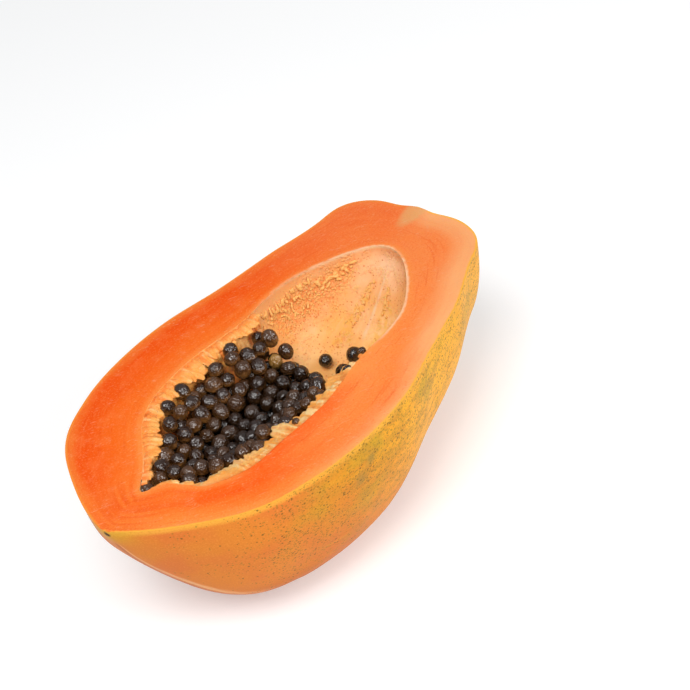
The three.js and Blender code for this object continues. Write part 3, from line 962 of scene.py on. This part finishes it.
def seed_material(settings):
    """Glossy dark seeds with browner jelly, a painted translucent glow of jelly on their lower flanks, and
    painted shade that makes them nearly black deep in the bunch.
    """
    material, g = new_material("wet_seed")
    grain = g.attribute("grain").outputs["Vector"]
    tone = g.measure("tone")
    g.colour = g.mix(g.ranged(tone, 0.25, 0.9), settings.dark, settings.brown)
    patch = g.noise(g.mapped(grain, (1, 1, 0.5)), 2.1, 3, 0.6)
    # Partly painted light: jelly colour laid on the lower flanks as a painted translucent glow
    g.lay(g.times(g.measure("flank_glow"), g.ranged(patch, 0.3, 0.6, 0.25, 0.8)), settings.jelly)
    g.lay(g.ranged(patch, 0.58, 0.74, 0, 0.35), settings.jelly)
    g.lay(g.math("GREATER_THAN", tone, OLIVE_TONE - 0.5), settings.olive)
    # Painted shade: seeds turn nearly black deeper down in the bunch
    _, _, z = g.axes(g.millimetres())
    g.lay(g.ranged(z, 67, 56, 0, 0.95), "0E0704")
    folds = g.noise(g.mapped(grain, (1, 1, 0.6)), 1.0, 2, 0.55, 0.7)
    crumple = g.times(g.math("ABSOLUTE", g.minus(folds, 0.5)), 0.7)
    height = g.plus(crumple, g.times(g.noise(grain, 2.0, 2, 0.5), 0.5))
    roughness = g.ranged(patch, 0.35, 0.65, 0.1, 0.24)
    g.surface(g.colour, roughness, g.bump(height, 0.0018, 1.0), Specular_IOR_Level=0.8)
    return material


def floor_material(settings):
    """Matt pale floor that gives a little light of its own."""
    material, g = new_material("pale_floor")
    g.surface(
        settings.floor,
        0.9,
        None,
        Specular_IOR_Level=0.0,
        Emission_Color=(1, 1, 1, 1),
        Emission_Strength=settings.glow,
    )
    return material


# ---- The fruit ----
def length_shares():
    """Even-looking steps from tip to stem: closer over the seeds and at both ends."""
    fine = np.linspace(-1, 1, 20001)
    crowd = np.where(fine < SEEDED_SHARE, SEEDED_CROWDING, 1.0) * (0.75 + 0.5 / np.sqrt(1 - fine**2 + 0.0005))
    walked = np.concatenate([[0], np.cumsum((crowd[1:] + crowd[:-1]) / 2)])
    return np.interp(np.linspace(0, walked[-1], LENGTH_STEPS + 1), walked, fine)


def crowded_ends(steps, crowding):
    """Steps from 0 to 1 that are closer at both ends."""
    t = np.linspace(0, 1, steps + 1)
    return t - crowding * np.sin(2 * math.pi * t) / (2 * math.pi)


def fruit_rings():
    """Points, and the way round in millimetres, of rings that run under the belly, over the far strip of the
    cut face, down through the cavity and back over the near strip."""
    shares = length_shares()[:, None]
    skin = skin_points(shares, math.pi * crowded_ends(SKIN_STEPS, SKIN_CROWDING)[None, :])
    x = CAVITY_MIDDLE + CAVITY_HALF * shares[:, 0]
    rows = np.stack([x, 0 * x, 0 * x], -1)
    far_tear = 1 + 0.3 * rough(rows, 1.9, 61) + 0.3 * rough(rows, 6, 63)
    near_tear = 1 + 0.2 * rough(rows, 2.3, 65) + 0.25 * rough(rows, 7, 67)
    angle = math.pi * (1 - crowded_ends(LINING_STEPS, LINING_CROWDING))[None, :]
    ragged = np.where(angle > math.pi / 2, far_tear[:, None], near_tear[:, None])
    lining = lining_points(shares, angle, ragged)
    strip = crowded_ends(FACE_STEPS, FACE_CROWDING)[None, 1:-1, None]
    far = skin[:, -1:] + (lining[:, :1] - skin[:, -1:]) * strip
    near = lining[:, -1:] + (skin[:, :1] - lining[:, -1:]) * strip
    rings = np.concatenate([skin, far, lining, near, skin[:, :1]], 1)
    widest = rings[len(rings) // 2]
    around = np.concatenate([[0], np.cumsum(np.linalg.norm(np.diff(widest, axis=0), axis=1))])
    return shares[:, 0], rings, around


def waved_skin(points, share, angle):
    """Small dents, none of which stand proud of the plain form."""
    free = np.minimum(1, 6 * np.sin(np.clip(angle, 0, math.pi)))
    dents = LARGE_DENT * (1 + rough(points, 17, 3)) + SMALL_DENT * (1 + rough(points, 5, 5))
    middle = np.stack([points[:, 0], bow(share), 0 * share], -1)
    away = points - middle
    away /= np.maximum(1e-6, np.linalg.norm(away, axis=1))[:, None]
    return points - away * (dents * free)[:, None]


class PapayaFruitSettings(bpy.types.PropertyGroup):
    """Colours and small sizes of the fruit."""

    ripe: shade("Ripe skin", "Skin at the blossom end", "E48630")
    blush: shade("Blush", "Redder patches of the ripe skin", "E27A34")
    rose: shade("Rose", "Pinker patches low on the belly", "DA763E")
    yellow: shade("Yellow skin", "Skin towards the stem, under the cut", "E0A020")
    amber: shade("Amber skin", "Redder patches of the yellow skin", "DE8E2A")
    gold: shade("Gold", "Lengthwise golden streaks", "EEAE30")
    green: shade("Green", "Greener patches under the cut", "B79C2E")
    blotch: shade("Blotch", "Grey-green blotches", "8C8044")
    speckle: shade("Speckle", "Green dots on the skin", "7E7028")
    rim: shade("Rim", "Thin line of skin round the cut", "FCB643")
    flesh: shade("Flesh", "Plain orange of the flesh", "FD8442")
    inner: shade("Inner flesh", "Flesh beside the cavity", "FE9848")
    deep: shade("Deep flesh", "Redder streaks of the flesh", "EC4A0A")
    pale: shade("Lining", "Pale wall of the cavity", "FFC48A")
    gold_wall: shade("Golden lining", "Yellower patches of the cavity wall", "FFBC74")
    stipple: shade("Stipple", "Red-brown dots on the cavity wall", "D86C30")
    pulp: shade("Pulp", "Pale torn pulp on the walls", "FDB25E")
    gold_pulp: shade("Golden pulp", "Yellower torn pulp on the walls", "FCA44C")
    waviness: span("Knife waviness", "How far the cut face dips", 0.00015, 0, 0.001)


class PAPAYA_OT_fruit_half(bpy.types.Operator):
    """Builds the half fruit: skin, cut face and cavity as one closed piece"""

    bl_idname = "papaya.fruit_half"
    bl_label = "Fruit half"

    def execute(self, context):
        settings = context.scene.papaya_fruit
        shares, rings, around = fruit_rings()
        rows, columns = rings.shape[0] - 1, rings.shape[1] - 1
        bpy.ops.object.select_all(action="DESELECT")
        bpy.ops.mesh.primitive_grid_add(x_subdivisions=columns, y_subdivisions=rows, size=2)
        piece = context.object
        piece.name = piece.data.name = "papaya_half"
        mesh = piece.data
        start = get_places(mesh)
        column = np.rint((start[:, 0] + 1) / 2 * columns).astype(int)
        row = np.rint((start[:, 1] + 1) / 2 * rows).astype(int)
        far_mouth = SKIN_STEPS + FACE_STEPS
        near_mouth = far_mouth + LINING_STEPS
        points = rings[row, column]
        on_skin = (column <= SKIN_STEPS) | (column == columns)
        turned = math.pi * crowded_ends(SKIN_STEPS, SKIN_CROWDING)[np.minimum(column, SKIN_STEPS)]
        angle = np.where(column == columns, 0, turned)
        points[on_skin] = waved_skin(points[on_skin], shares[row[on_skin]], angle[on_skin])
        inside = (column > far_mouth) & (column < near_mouth)
        fold = np.zeros(len(points))
        points[inside], fold[inside] = self.lumpy(points[inside])
        on_face = ~on_skin & ~inside
        dips = settings.waviness / MM * (1 + rough(points[on_face], 8, 2)) / 2
        ends = np.minimum(1, np.minimum(np.abs(column - SKIN_STEPS), columns - column)[on_face] / 3)
        points[on_face, 2] -= dips * ends
        points[:, 2] = np.maximum(points[:, 2], -REST_HEIGHT)
        set_places(mesh, in_frame(points))
        self.keep_measures(mesh, points, column, turned)
        around_cavity = np.clip((column - far_mouth) / LINING_STEPS, 0, 1)
        lining_step = np.rint(around_cavity * LINING_STEPS).astype(int)
        store(mesh, "round_way", 1 - crowded_ends(LINING_STEPS, LINING_CROWDING)[lining_step])
        wall = np.minimum(around_cavity, 1 - around_cavity)
        store(mesh, "pulp", seeded(points[:, 0]) * inside * (1 - smooth(0.3, 0.42, wall)))
        store(mesh, "fold", fold)
        corner = np.empty(len(mesh.loops), int)
        mesh.loops.foreach_get("vertex_index", corner)
        flow = np.stack([(shares[row[corner]] + 1) / 2, around[column[corner]] / FLOW_AROUND], -1)
        mesh.uv_layers[0].name = "flow"
        mesh.uv_layers["flow"].data.foreach_set("uv", flow.astype(np.float32).ravel())
        for made in (skin_material(settings), flesh_material(settings), lining_material(settings)):
            mesh.materials.append(made)
        first = column[corner].reshape(-1, 4).min(1)
        kind = np.where(first < SKIN_STEPS, 0, np.where((first >= far_mouth) & (first < near_mouth), 2, 1))
        mesh.polygons.foreach_set("material_index", kind.astype(np.int32))
        close_up(piece, WELD_GAP)
        bpy.ops.object.shade_smooth_by_angle(angle=SHARP_ANGLE)
        finish_piece(piece, "fruit", "fruit_half")
        return {"FINISHED"}

    @staticmethod
    def lumpy(points):
        """Torn lumps on the pulp beside the seeds, and a faint unevenness on the bare wall."""
        high = smooth(-24, -8, points[:, 2])
        across = off_middle(points)
        side = np.sign(across)
        torn = seeded(points[:, 0]) * high
        fold = torn * ridges(points, side, 7)
        lump = 0.75 * fold + 0.18 * rough(points, 6, 9) + 0.3 * torn * rough(points, 1.4, 71)
        free = smooth(0, -1.2, points[:, 2])
        points[:, 1] -= lump * free * side * smooth(0, 6, np.abs(across))
        points[:, 2] = np.minimum(0, points[:, 2] + 0.8 * lump * free)
        return points, fold

    @staticmethod
    def keep_measures(mesh, points, column, turned):
        """What the materials read: the way from the skin's edge and from the mouth, the side of the cut, the
        crease's painted highlight line and the painted shade strip beneath it, and the dark blossom scar."""
        far_mouth = SKIN_STEPS + FACE_STEPS
        near_mouth = far_mouth + LINING_STEPS
        outline, mouth = both_edges(skin_points), both_edges(lining_points)
        rim, gap = np.zeros(len(points)), np.zeros(len(points))
        cut = (column >= SKIN_STEPS) & ((column <= far_mouth) | (column >= near_mouth))
        cut |= column == 0
        inner = (column >= far_mouth) & (column <= near_mouth)
        rim[cut] = distance_to_line(points[cut], outline)
        gap[cut] = distance_to_line(points[cut], mouth)
        flat = distance_to_line(points[inner], mouth)
        gap[inner] = np.hypot(flat, points[inner, 2])
        share = np.clip(points[:, 0] / HALF_LENGTH, -1, 1)
        width = np.maximum(1, round_ended(BODY_FULLNESS, share))
        near = smooth(0.3, -0.3, off_middle(points) / width)
        tip = skin_points(np.array([-0.9995]), np.array([math.radians(75)]))[0]
        blossom = smooth(1.5, 0.8, np.linalg.norm((points - tip) * np.array([1, 0.8, 1.3]), axis=1))
        off_crease = turned - crease_angle(share)
        fading = smooth(-0.5, -0.86, share) * smooth(-1, -0.985, share)
        # Painted highlight on the crease's crest, minus painted shade in the strip beneath it
        line = bell(off_crease, math.radians(2.5)) - bell(off_crease - math.radians(11), math.radians(8))
        store(mesh, "crease", line * fading * (column <= SKIN_STEPS))
        store(mesh, "rim", rim)
        store(mesh, "mouth", gap)
        store(mesh, "near", near)
        store(mesh, "blossom", blossom)


# ---- The torn pulp ----
class PapayaPulpSettings(bpy.types.PropertyGroup):
    """Colours and sizes of the torn pulp at the cavity's rim."""

    pale: shade("Pulp", "Pale torn pulp", "FDB25E")
    gold: shade("Golden pulp", "Yellower patches of pulp", "FCA44C")
    root: shade("Pulp roots", "Pulp where it leaves the flesh", "FD8638")
    reach: FloatProperty(
        name="Reach", description="Share of the pulp's usual length", default=1.0, min=0.2, max=1.3
    )
    fineness: span("Fineness", "Smallest lump that is kept", 0.00034, 0.0002, 0.001)


def mouth_edge(x, side):
    """The mouth's edge at x, and the level way straight in from it. side is 1 for far and -1 for near."""
    reach, ahead = float(edge_reach(x, side)), float(edge_reach(x + 1, side))
    slope = min(1.2, ahead - reach)
    way = np.array([slope, -side, 0]) / math.hypot(slope, 1)
    return np.array([x, float(bow(x / HALF_LENGTH)) + side * reach, 0]), way


def tongue_places(settings, draw):
    """Middle, direction and half sizes in millimetres of each tongue, flap and crumb of pulp."""
    places = []

    def add(root, way, length, width, height):
        way = way / np.linalg.norm(way)
        places.append((root + way * length * 0.42, way, np.array([length, width, height]) / 2))

    for side, pitch, lengths, stop, drops, widths, thicknesses in TONGUE_ROWS:
        x = BED_START - 1
        while x < stop:
            edge, way = mouth_edge(x, side)
            length = settings.reach * float(np.interp(x, *zip(*lengths))) * draw.uniform(0.8, 1.15)
            way[2] = -draw.uniform(*drops)
            way[0] += draw.uniform(-0.16, 0.16)
            width, thickness = draw.uniform(*widths), draw.uniform(*thicknesses)
            add(edge + way * 0.3 + np.array([0, 0, -0.9]), way, length, width, thickness)
            lumps = 0 if side < 0 else 1 if x < -6 else 3
            for _ in range(lumps):
                along = draw.uniform(0.05, 0.8) * length
                aside = np.array([draw.uniform(-1.5, 1.5), 0, -0.1 - 0.2 * along])
                tilt = way + np.array([draw.uniform(-0.6, 0.6), 0, 0])
                sizes = draw.uniform(1.6, 3.6), draw.uniform(1.5, 2.5), draw.uniform(1.1, 1.7)
                add(edge + way * along + aside, tilt, *sizes)
            x += pitch * draw.uniform(0.55, 1.3) * (0.5 if x < -66 else 1)
    for x, reach, width in NEAR_FLAPS:
        edge, way = mouth_edge(x, -1)
        for part in (-0.5, 0, 0.5):
            aside = np.array([part * width * 0.55, 0, -0.7 - 0.5 * abs(part)])
            tilt = way + np.array([0.12 * part, 0, -0.2])
            add(edge + aside, tilt, reach * (1 - 0.25 * abs(part)), width * 0.55, 1.3)
    for count, shares, angles, lengths, widths, down in CRUMB_PATCHES:
        for k in range(count):
            c = shares[0] + (shares[1] - shares[0]) * (k + draw.uniform(0.15, 0.85)) / count
            angle = math.radians(draw.uniform(*angles))
            here = lining_points(np.array([c, c, c + 0.01]), np.array([angle, angle - 0.05, angle]))
            steps = here[1:] - here[0]
            steps /= np.linalg.norm(steps, axis=1)[:, None]
            way = down * steps[0] + (1 - down) * draw.choice((-1, 1)) * steps[1]
            way = way + 0.3 * draw.uniform(-1, 1, 3)
            out = np.cross(steps[1], steps[0])
            out *= -np.sign(out @ (here[0] - [here[0][0], 0, 0])) / np.linalg.norm(out)
            wide = draw.uniform(*widths)
            add(here[0] + 0.2 * wide * out, way, draw.uniform(*lengths), wide, draw.uniform(0.8, 1.05) * wide)
    return places


class PAPAYA_OT_torn_pulp(bpy.types.Operator):
    """Builds the torn teeth and crumbs of pulp round the mouth of the cavity"""

    bl_idname = "papaya.torn_pulp"
    bl_label = "Torn pulp"

    def execute(self, context):
        settings = context.scene.papaya_pulp
        draw = np.random.default_rng(PULP_DRAWS)
        bpy.ops.object.select_all(action="DESELECT")
        bpy.ops.mesh.primitive_ico_sphere_add(subdivisions=4, radius=1)
        tongue = context.object
        ball = get_places(tongue.data)
        block = ball / ((np.abs(ball) ** 2.7).sum(1) ** (1 / 2.7))[:, None]
        copies = []
        for i, (middle, along, sizes) in enumerate(tongue_places(settings, draw)):
            piece = tongue.copy()
            piece.data = tongue.data.copy()
            context.collection.objects.link(piece)
            form = block if middle[0] < BLOCKY_TO else ball
            set_places(piece.data, in_frame(self.shaped(form, middle, along, sizes, i)))
            copies.append(piece)
        bpy.data.objects.remove(tongue)
        pulp = joined(copies, "torn_pulp")
        for kind, values in (
            ("REMESH", {"mode": "VOXEL", "voxel_size": settings.fineness}),
            ("SMOOTH", {"factor": 0.5, "iterations": 2}),
        ):
            modifier = pulp.modifiers.new(kind.lower(), kind)
            for key, value in values.items():
                setattr(modifier, key, value)
            bpy.ops.object.modifier_apply(modifier=modifier.name)
        self.detail(pulp.data)
        bpy.ops.object.shade_smooth()
        pulp.data.materials.append(pulp_material(settings))
        finish_piece(pulp, "fruit")
        return {"FINISHED"}

    @staticmethod
    def shaped(form, middle, along, sizes, draw):
        """A form of radius 1 as a ragged tongue of these half sizes, a little narrower at its far end."""
        side = np.cross(along, (0, 0, 1))
        side /= max(1e-6, np.linalg.norm(side))
        up = np.cross(side, along)
        ragged = 1 + 0.22 * rough(form, 0.8, 11 + draw)
        local = form * ragged[:, None] * sizes
        local[:, 1] *= 1 - 0.12 * smooth(0.1, 1, form[:, 0])
        return middle + local[:, :1] * along + local[:, 1:2] * side + local[:, 2:] * up

    @staticmethod
    def detail(mesh):
        """Fine ridges, the limit of the cut plane, and how far each point reaches into the cavity."""
        drawn = (get_places(mesh) - FRAME_SHIFT) / MM
        normals = np.array([v.normal for v in mesh.vertices])
        side = np.sign(off_middle(drawn))
        fold = ridges(drawn, side, 7) * (1 - smooth(15, 20, drawn[:, 0]))
        drawn += normals * (0.4 * fold + 0.2 * rough(drawn, 0.9, 23))[:, None]
        drawn[:, 2] = np.minimum(drawn[:, 2], -0.1)
        set_places(mesh, in_frame(drawn))
        store(mesh, "reach", distance_to_line(drawn, both_edges(lining_points)))
        store(mesh, "fold", fold)


# ---- The seeds ----
class PapayaSeedSettings(bpy.types.PropertyGroup):
    """Colours and sizes of the seeds."""

    dark: shade("Dark seed", "Blackest seeds", "2C1609")
    brown: shade("Brown seed", "Brownest seeds", "503016")
    jelly: shade("Jelly coat", "Clear coat where it is thick", "96622E")
    olive: shade("Olive seed", "The unripe seeds", "A87A3A")
    radius: span("Seed radius", "Half the width of a seed", SEED_RADIUS * MM, 0.002, 0.005)
    kinds: IntProperty(
        name="Seed shapes", description="How many seeds differ before they repeat", default=9, min=1, max=20
    )


class Draw:
    """The same row of numbers between 0 and 1 on every run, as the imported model's seeds use."""

    def __init__(self):
        self.state = BED_DRAWS

    def next(self):
        self.state = self.state * 16807 % 2147483647
        return self.state / 2147483647

    def scatter(self, reach):
        return (2 * self.next() - 1) * reach

    def turn(self):
        """A seed's own change of size, its roll and its spin."""
        return self.scatter(0.1), math.pi * self.next(), math.pi * self.next()


def bed_middle(x):
    """Middle of the bed across the fruit."""
    return float(bow(x / HALF_LENGTH) + BED_SHIFT * mouth_half_width(x))


def bed_reach(x):
    """How far the bed reaches to each side of its middle."""
    return max(1, BED_SHARE * float(mouth_half_width(x)))


def bed_end(y):
    """The bed's rounded end towards the stem."""
    return BED_END - ((y - BED_END_ACROSS) / BED_END_ROUND) ** 2


def bed_height(x, y):
    """Height of the seeds' middles: hollow along the middle and sloping down past the bed's end."""
    across = (y - bed_middle(x)) / bed_reach(x)
    deepened = float(smooth(BED_START, BED_START + BED_DEEPENS, x))
    hollow = BED_DEPTH * deepened * max(0, 1 - across * across)
    return -BED_RIM - hollow - BED_END_SLOPE * max(0, x - bed_end(y))


def seed_places(draw):
    """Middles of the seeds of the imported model, in rows across the bed."""
    places = []
    for row in range(int((BED_END - BED_START) / SEED_PITCH) + 1):
        x = BED_START + row * SEED_PITCH
        y = bed_middle(x) - bed_reach(x)
        stop = bed_middle(x) + bed_reach(x)
        last = (y, bed_height(x, y))
        walked = 0 if row % 2 else SEED_PITCH / 2
        while y <= stop:
            here = (y, bed_height(x, y))
            walked += math.dist(here, last)
            last = here
            if walked >= SEED_PITCH:
                walked -= SEED_PITCH
                px, py = x + draw.scatter(SEED_SCATTER), y + draw.scatter(SEED_SCATTER)
                pz = bed_height(px, py) + draw.scatter(SEED_SCATTER)
                if px < bed_end(py):
                    places.append((px, py, pz))
            y += WALK_STEP
    return places


def lining_height(x, y):
    """Height of the cavity's wall below a place in the cut face."""
    angles = np.arange(0, math.pi, 0.01)
    wall = lining_points(np.clip((x - CAVITY_MIDDLE) / CAVITY_HALF, -1, 1) + 0 * angles, angles)
    return float(wall[np.abs(wall[:, 1] - y).argmin(), 2])


def buried_places(draw, top, wall):
    """Seeds that show between and below the top ones, clear of the cavity's wall."""
    places = []
    for drop in BURIED_DROPS:
        for x in np.arange(BED_START + 4, BED_END + 2, SEED_PITCH * 0.92):
            for y in np.arange(bed_middle(x) - bed_reach(x), bed_middle(x) + bed_reach(x), SEED_PITCH * 0.9):
                px, py = x + draw.uniform(-2, 2), y + draw.uniform(-2, 2)
                place = np.array([px, py, bed_height(px, py) - drop + draw.uniform(-0.8, 0.8)])
                if px > bed_end(py) + 1:
                    continue
                if np.linalg.norm(np.array(top) - place, axis=1).min() < BURIED_GAP:
                    continue
                here = Vector(in_frame(place))
                hit, normal, _, gap = wall.find_nearest(here)
                if normal.dot(here - hit) > 0 and gap > WALL_GAP * MM:
                    places.append(tuple(place))
    return places


def pushed_apart(places, held, reach):
    """Moves places until no two are much closer than reach; the first held ones give way least."""
    places = np.array(places, float)
    give = np.where(np.arange(len(places)) < held, HELD_GIVE, 1.0)
    for _ in range(PUSH_ROUNDS):
        gaps = places[:, None] - places[None]
        apart = np.linalg.norm(gaps, axis=-1) + 1e9 * np.eye(len(places))
        push = np.clip(reach - apart, 0, None) / apart
        share = give[:, None] / (give[:, None] + give[None])
        places += 0.5 * (gaps * (push * share)[..., None]).sum(1)
    return places


class PAPAYA_OT_seeds(bpy.types.Operator):
    """Builds the bed of wet seeds and the loose ones on the bare wall"""

    bl_idname = "papaya.seeds"
    bl_label = "Seeds"

    def execute(self, context):
        settings = context.scene.papaya_seeds
        fruit = bpy.data.objects["papaya_half"]
        wall = BVHTree.FromObject(fruit, context.evaluated_depsgraph_get())
        draw = Draw()
        top = seed_places(draw)
        turns = [draw.turn() for _ in top]
        loose = [(x, y, lining_height(x, y) + SEED_RADIUS + LOOSE_GAP) for x, y in LOOSE_SEEDS]
        loose_turns = [draw.turn() for _ in loose]
        fill = np.random.default_rng(SEED_DRAWS)
        low = buried_places(fill, top, wall)
        top += [(x, y, -SEED_RADIUS - 0.2) for x, y in RIM_SEEDS]
        places = list(pushed_apart([*top, *low], len(top), SEED_REACH))
        places += [(x, y, -SEED_RADIUS * size) for x, y, size in SMALL_SEEDS]
        sizes = [fill.uniform(-0.1, 0.1) for _ in (*RIM_SEEDS, *low)]
        sizes += [size - 1 for _, _, size in SMALL_SEEDS]
        turns += [(size, math.pi * fill.random(), math.pi * fill.random()) for size in sizes]
        kinds = self.model_kinds(settings, *TOP_SEED_STEPS)
        plain_kinds = self.model_kinds(settings, *BURIED_SEED_STEPS)
        material = seed_material(settings)
        shapes = [(kinds if i < len(top) else plain_kinds)[i % len(kinds)] for i in range(len(places))]
        bed = self.lay(context, "seed_bed", shapes, places, turns, fill, material)
        finish_piece(bed, "seeds", "seed_cluster")
        for i, place in enumerate(loose):
            name = f"loose_seed_{'abc'[i]}"
            seed = self.lay(context, name, kinds[i:], [place], [loose_turns[i]], fill, material)
            finish_piece(seed, "seeds", f"loose_seed_{i + 1}")
        for kind in (*kinds, *plain_kinds):
            bpy.data.meshes.remove(kind)
        return {"FINISHED"}

    @staticmethod
    def model_kinds(settings, segments, rings):
        """Seeds of radius 1 along Z: an egg with a few soft lengthwise folds and dimples."""
        kinds = []
        for kind in range(settings.kinds):
            bpy.ops.object.select_all(action="DESELECT")
            bpy.ops.mesh.primitive_uv_sphere_add(segments=segments, ring_count=rings, radius=1)
            seed = bpy.context.object
            settle_faces(seed.data)
            ball = get_places(seed.data)
            round_way = np.arctan2(ball[:, 1], ball[:, 0])
            folds = 0.03 * np.cos((5 + kind % 3) * round_way + 2 * kind + 1.5 * ball[:, 2])
            folds += 0.06 * rough(ball, 0.75, 31 + kind) + 0.025 * rough(ball, 0.3, 51 + kind)
            belt = np.sqrt(np.maximum(0, 1 - ball[:, 2] ** 2))
            egg = ball * (1 + folds * belt)[:, None]
            egg[:, :2] *= (1 - 0.08 * ball[:, 2])[:, None]
            set_places(seed.data, egg)
            store(seed.data, "grain", ball + 7.0 * kind)
            bpy.ops.object.shade_smooth()
            kinds.append(seed.data)
            bpy.data.objects.remove(seed)
        return kinds

    @staticmethod
    def lay(context, name, kinds, places, turns, fill, material):
        """Copies of the seeds at their places, joined in one object at the origin."""
        radius = context.scene.papaya_seeds.radius / MM
        lying = Matrix.Rotation(math.pi / 2, 3, "X")
        copies = []
        for i, (place, (size, roll, spin)) in enumerate(zip(places, turns)):
            mesh = kinds[i].copy()
            turn = Matrix.Rotation(spin, 3, "Z") @ Matrix.Rotation(roll, 3, "X") @ lying
            size = 0.97 + size + fill.uniform(-0.09, 0.09)
            shape = get_places(mesh) * radius * size * np.array([1, 1, SEED_STRETCH])
            shape = shape @ np.array(turn).T
            middle = np.array(place, float)
            middle[2] = min(middle[2], -0.06 - shape[:, 2].max())
            set_places(mesh, in_frame(shape + middle))
            tone = OLIVE_TONE if math.dist(place[:2], OLIVE_PLACE) < OLIVE_REACH else fill.random()
            store(mesh, "tone", np.full(len(mesh.vertices), tone))
            # Painted translucent glow: the jelly shows lighter on each seed's lower flanks
            store(mesh, "flank_glow", smooth(0.55, -0.25, shape[:, 2] / radius))
            copy = bpy.data.objects.new(f"{name}_{i}", mesh)
            context.collection.objects.link(copy)
            copies.append(copy)
        piece = joined(copies, name)
        piece.data.materials.clear()
        piece.data.materials.append(material)
        return piece


# ---- The stage ----
class PapayaStageSettings(bpy.types.PropertyGroup):
    """Floor and lights."""

    floor: FloatVectorProperty(
        name="Floor", description="Colour of the floor", subtype="COLOR", size=4, default=FLOOR_COLOUR
    )
    glow: FloatProperty(name="Floor glow", description="Light of the floor's own", default=0.34, min=0)
    key: FloatProperty(name="Key light", description="Power of the light above", default=11.0, min=0)
    fill: FloatProperty(name="Fill light", description="Power of the light in front", default=6.0, min=0)
    sky: FloatProperty(name="Sky", description="Brightness of the surround overhead", default=0.5, min=0)
    horizon: FloatProperty(name="Horizon", description="Brightness at floor level", default=0.2, min=0)


class PAPAYA_OT_stage(bpy.types.Operator):
    """Lays the floor and places the lights and the camera"""

    bl_idname = "papaya.stage"
    bl_label = "Stage"

    def execute(self, context):
        settings = context.scene.papaya_stage
        bpy.ops.object.select_all(action="DESELECT")
        bpy.ops.mesh.primitive_plane_add(size=6)
        floor = context.object
        floor.name = "floor"
        floor.data.materials.append(floor_material(settings))
        world = bpy.data.worlds.new("soft_surround")
        context.scene.world = world
        world.use_nodes = True
        self.surround(world.node_tree, settings)
        self.lamp(context, "key", (-0.55, -0.3, 1.08), 0.6, settings.key)
        self.lamp(context, "front", (0.1, -1.0, 0.6), 0.5, settings.fill)
        self.camera(context)
        context.scene.view_settings.view_transform = "Standard"
        return {"FINISHED"}

    @staticmethod
    def surround(tree, settings):
        """A pale surround that is brightest overhead."""
        g = Graph(tree)
        _, _, up = g.axes(g.add("ShaderNodeTexCoord").outputs["Generated"])
        backdrop = g.add("ShaderNodeBackground")
        backdrop.inputs["Color"].default_value = (0.96, 0.98, 1, 1)
        g.feed(backdrop.inputs["Strength"], g.ranged(up, 0.1, 0.95, settings.horizon, settings.sky))
        output = g.add("ShaderNodeOutputWorld")
        g.feed(output.inputs["Surface"], backdrop.outputs[0])

    @staticmethod
    def lamp(context, name, place, size, power):
        """A square soft light that faces the fruit."""
        bpy.ops.object.light_add(type="AREA", location=place)
        light = context.object
        light.name = light.data.name = name
        light.data.size = size
        light.data.energy = power
        light.rotation_euler = (Vector((0, 0, 0.04)) - Vector(place)).to_track_quat("-Z", "Y").to_euler()

    @staticmethod
    def camera(context):
        bpy.ops.object.camera_add(location=CAMERA_PLACE)
        camera = context.object
        camera.name = "camera"
        right = Vector(CAMERA_RIGHT).normalized()
        back = right.cross(Vector(CAMERA_UP)).normalized()
        up = back.cross(right)
        turn = Matrix((right, up, back)).transposed()
        camera.matrix_world = Matrix.Translation(CAMERA_PLACE) @ turn.to_4x4()
        camera.data.lens = CAMERA_LENS
        camera.data.sensor_width = 36
        camera.data.clip_start, camera.data.clip_end = 0.05, 20
        context.scene.camera = camera


class PAPAYA_PT_panel(bpy.types.Panel):
    """Lists the steps that build the papaya"""

    bl_idname = "PAPAYA_PT_panel"
    bl_label = "Papaya"
    bl_space_type = "VIEW_3D"
    bl_region_type = "UI"
    bl_category = "Papaya"

    def draw(self, context):
        scene = context.scene
        for settings, operator in (
            (scene.papaya_fruit, PAPAYA_OT_fruit_half),
            (scene.papaya_pulp, PAPAYA_OT_torn_pulp),
            (scene.papaya_seeds, PAPAYA_OT_seeds),
            (scene.papaya_stage, PAPAYA_OT_stage),
        ):
            box = self.layout.box()
            for key in settings.__annotations__:
                box.prop(settings, key)
            box.operator(operator.bl_idname)


SETTINGS = {
    "papaya_fruit": PapayaFruitSettings,
    "papaya_pulp": PapayaPulpSettings,
    "papaya_seeds": PapayaSeedSettings,
    "papaya_stage": PapayaStageSettings,
}
CLASSES = (
    *SETTINGS.values(),
    PAPAYA_OT_fruit_half,
    PAPAYA_OT_torn_pulp,
    PAPAYA_OT_seeds,
    PAPAYA_OT_stage,
    PAPAYA_PT_panel,
)


def register():
    for made in CLASSES:
        bpy.utils.register_class(made)
    for key, kind in SETTINGS.items():
        setattr(bpy.types.Scene, key, PointerProperty(type=kind))


def unregister():
    for key in SETTINGS:
        delattr(bpy.types.Scene, key)
    for made in reversed(CLASSES):
        bpy.utils.unregister_class(made)


def main():
    register()
    bpy.ops.papaya.fruit_half()
    bpy.ops.papaya.torn_pulp()
    bpy.ops.papaya.seeds()
    bpy.ops.papaya.stage()


if __name__ == "__main__":
    main()
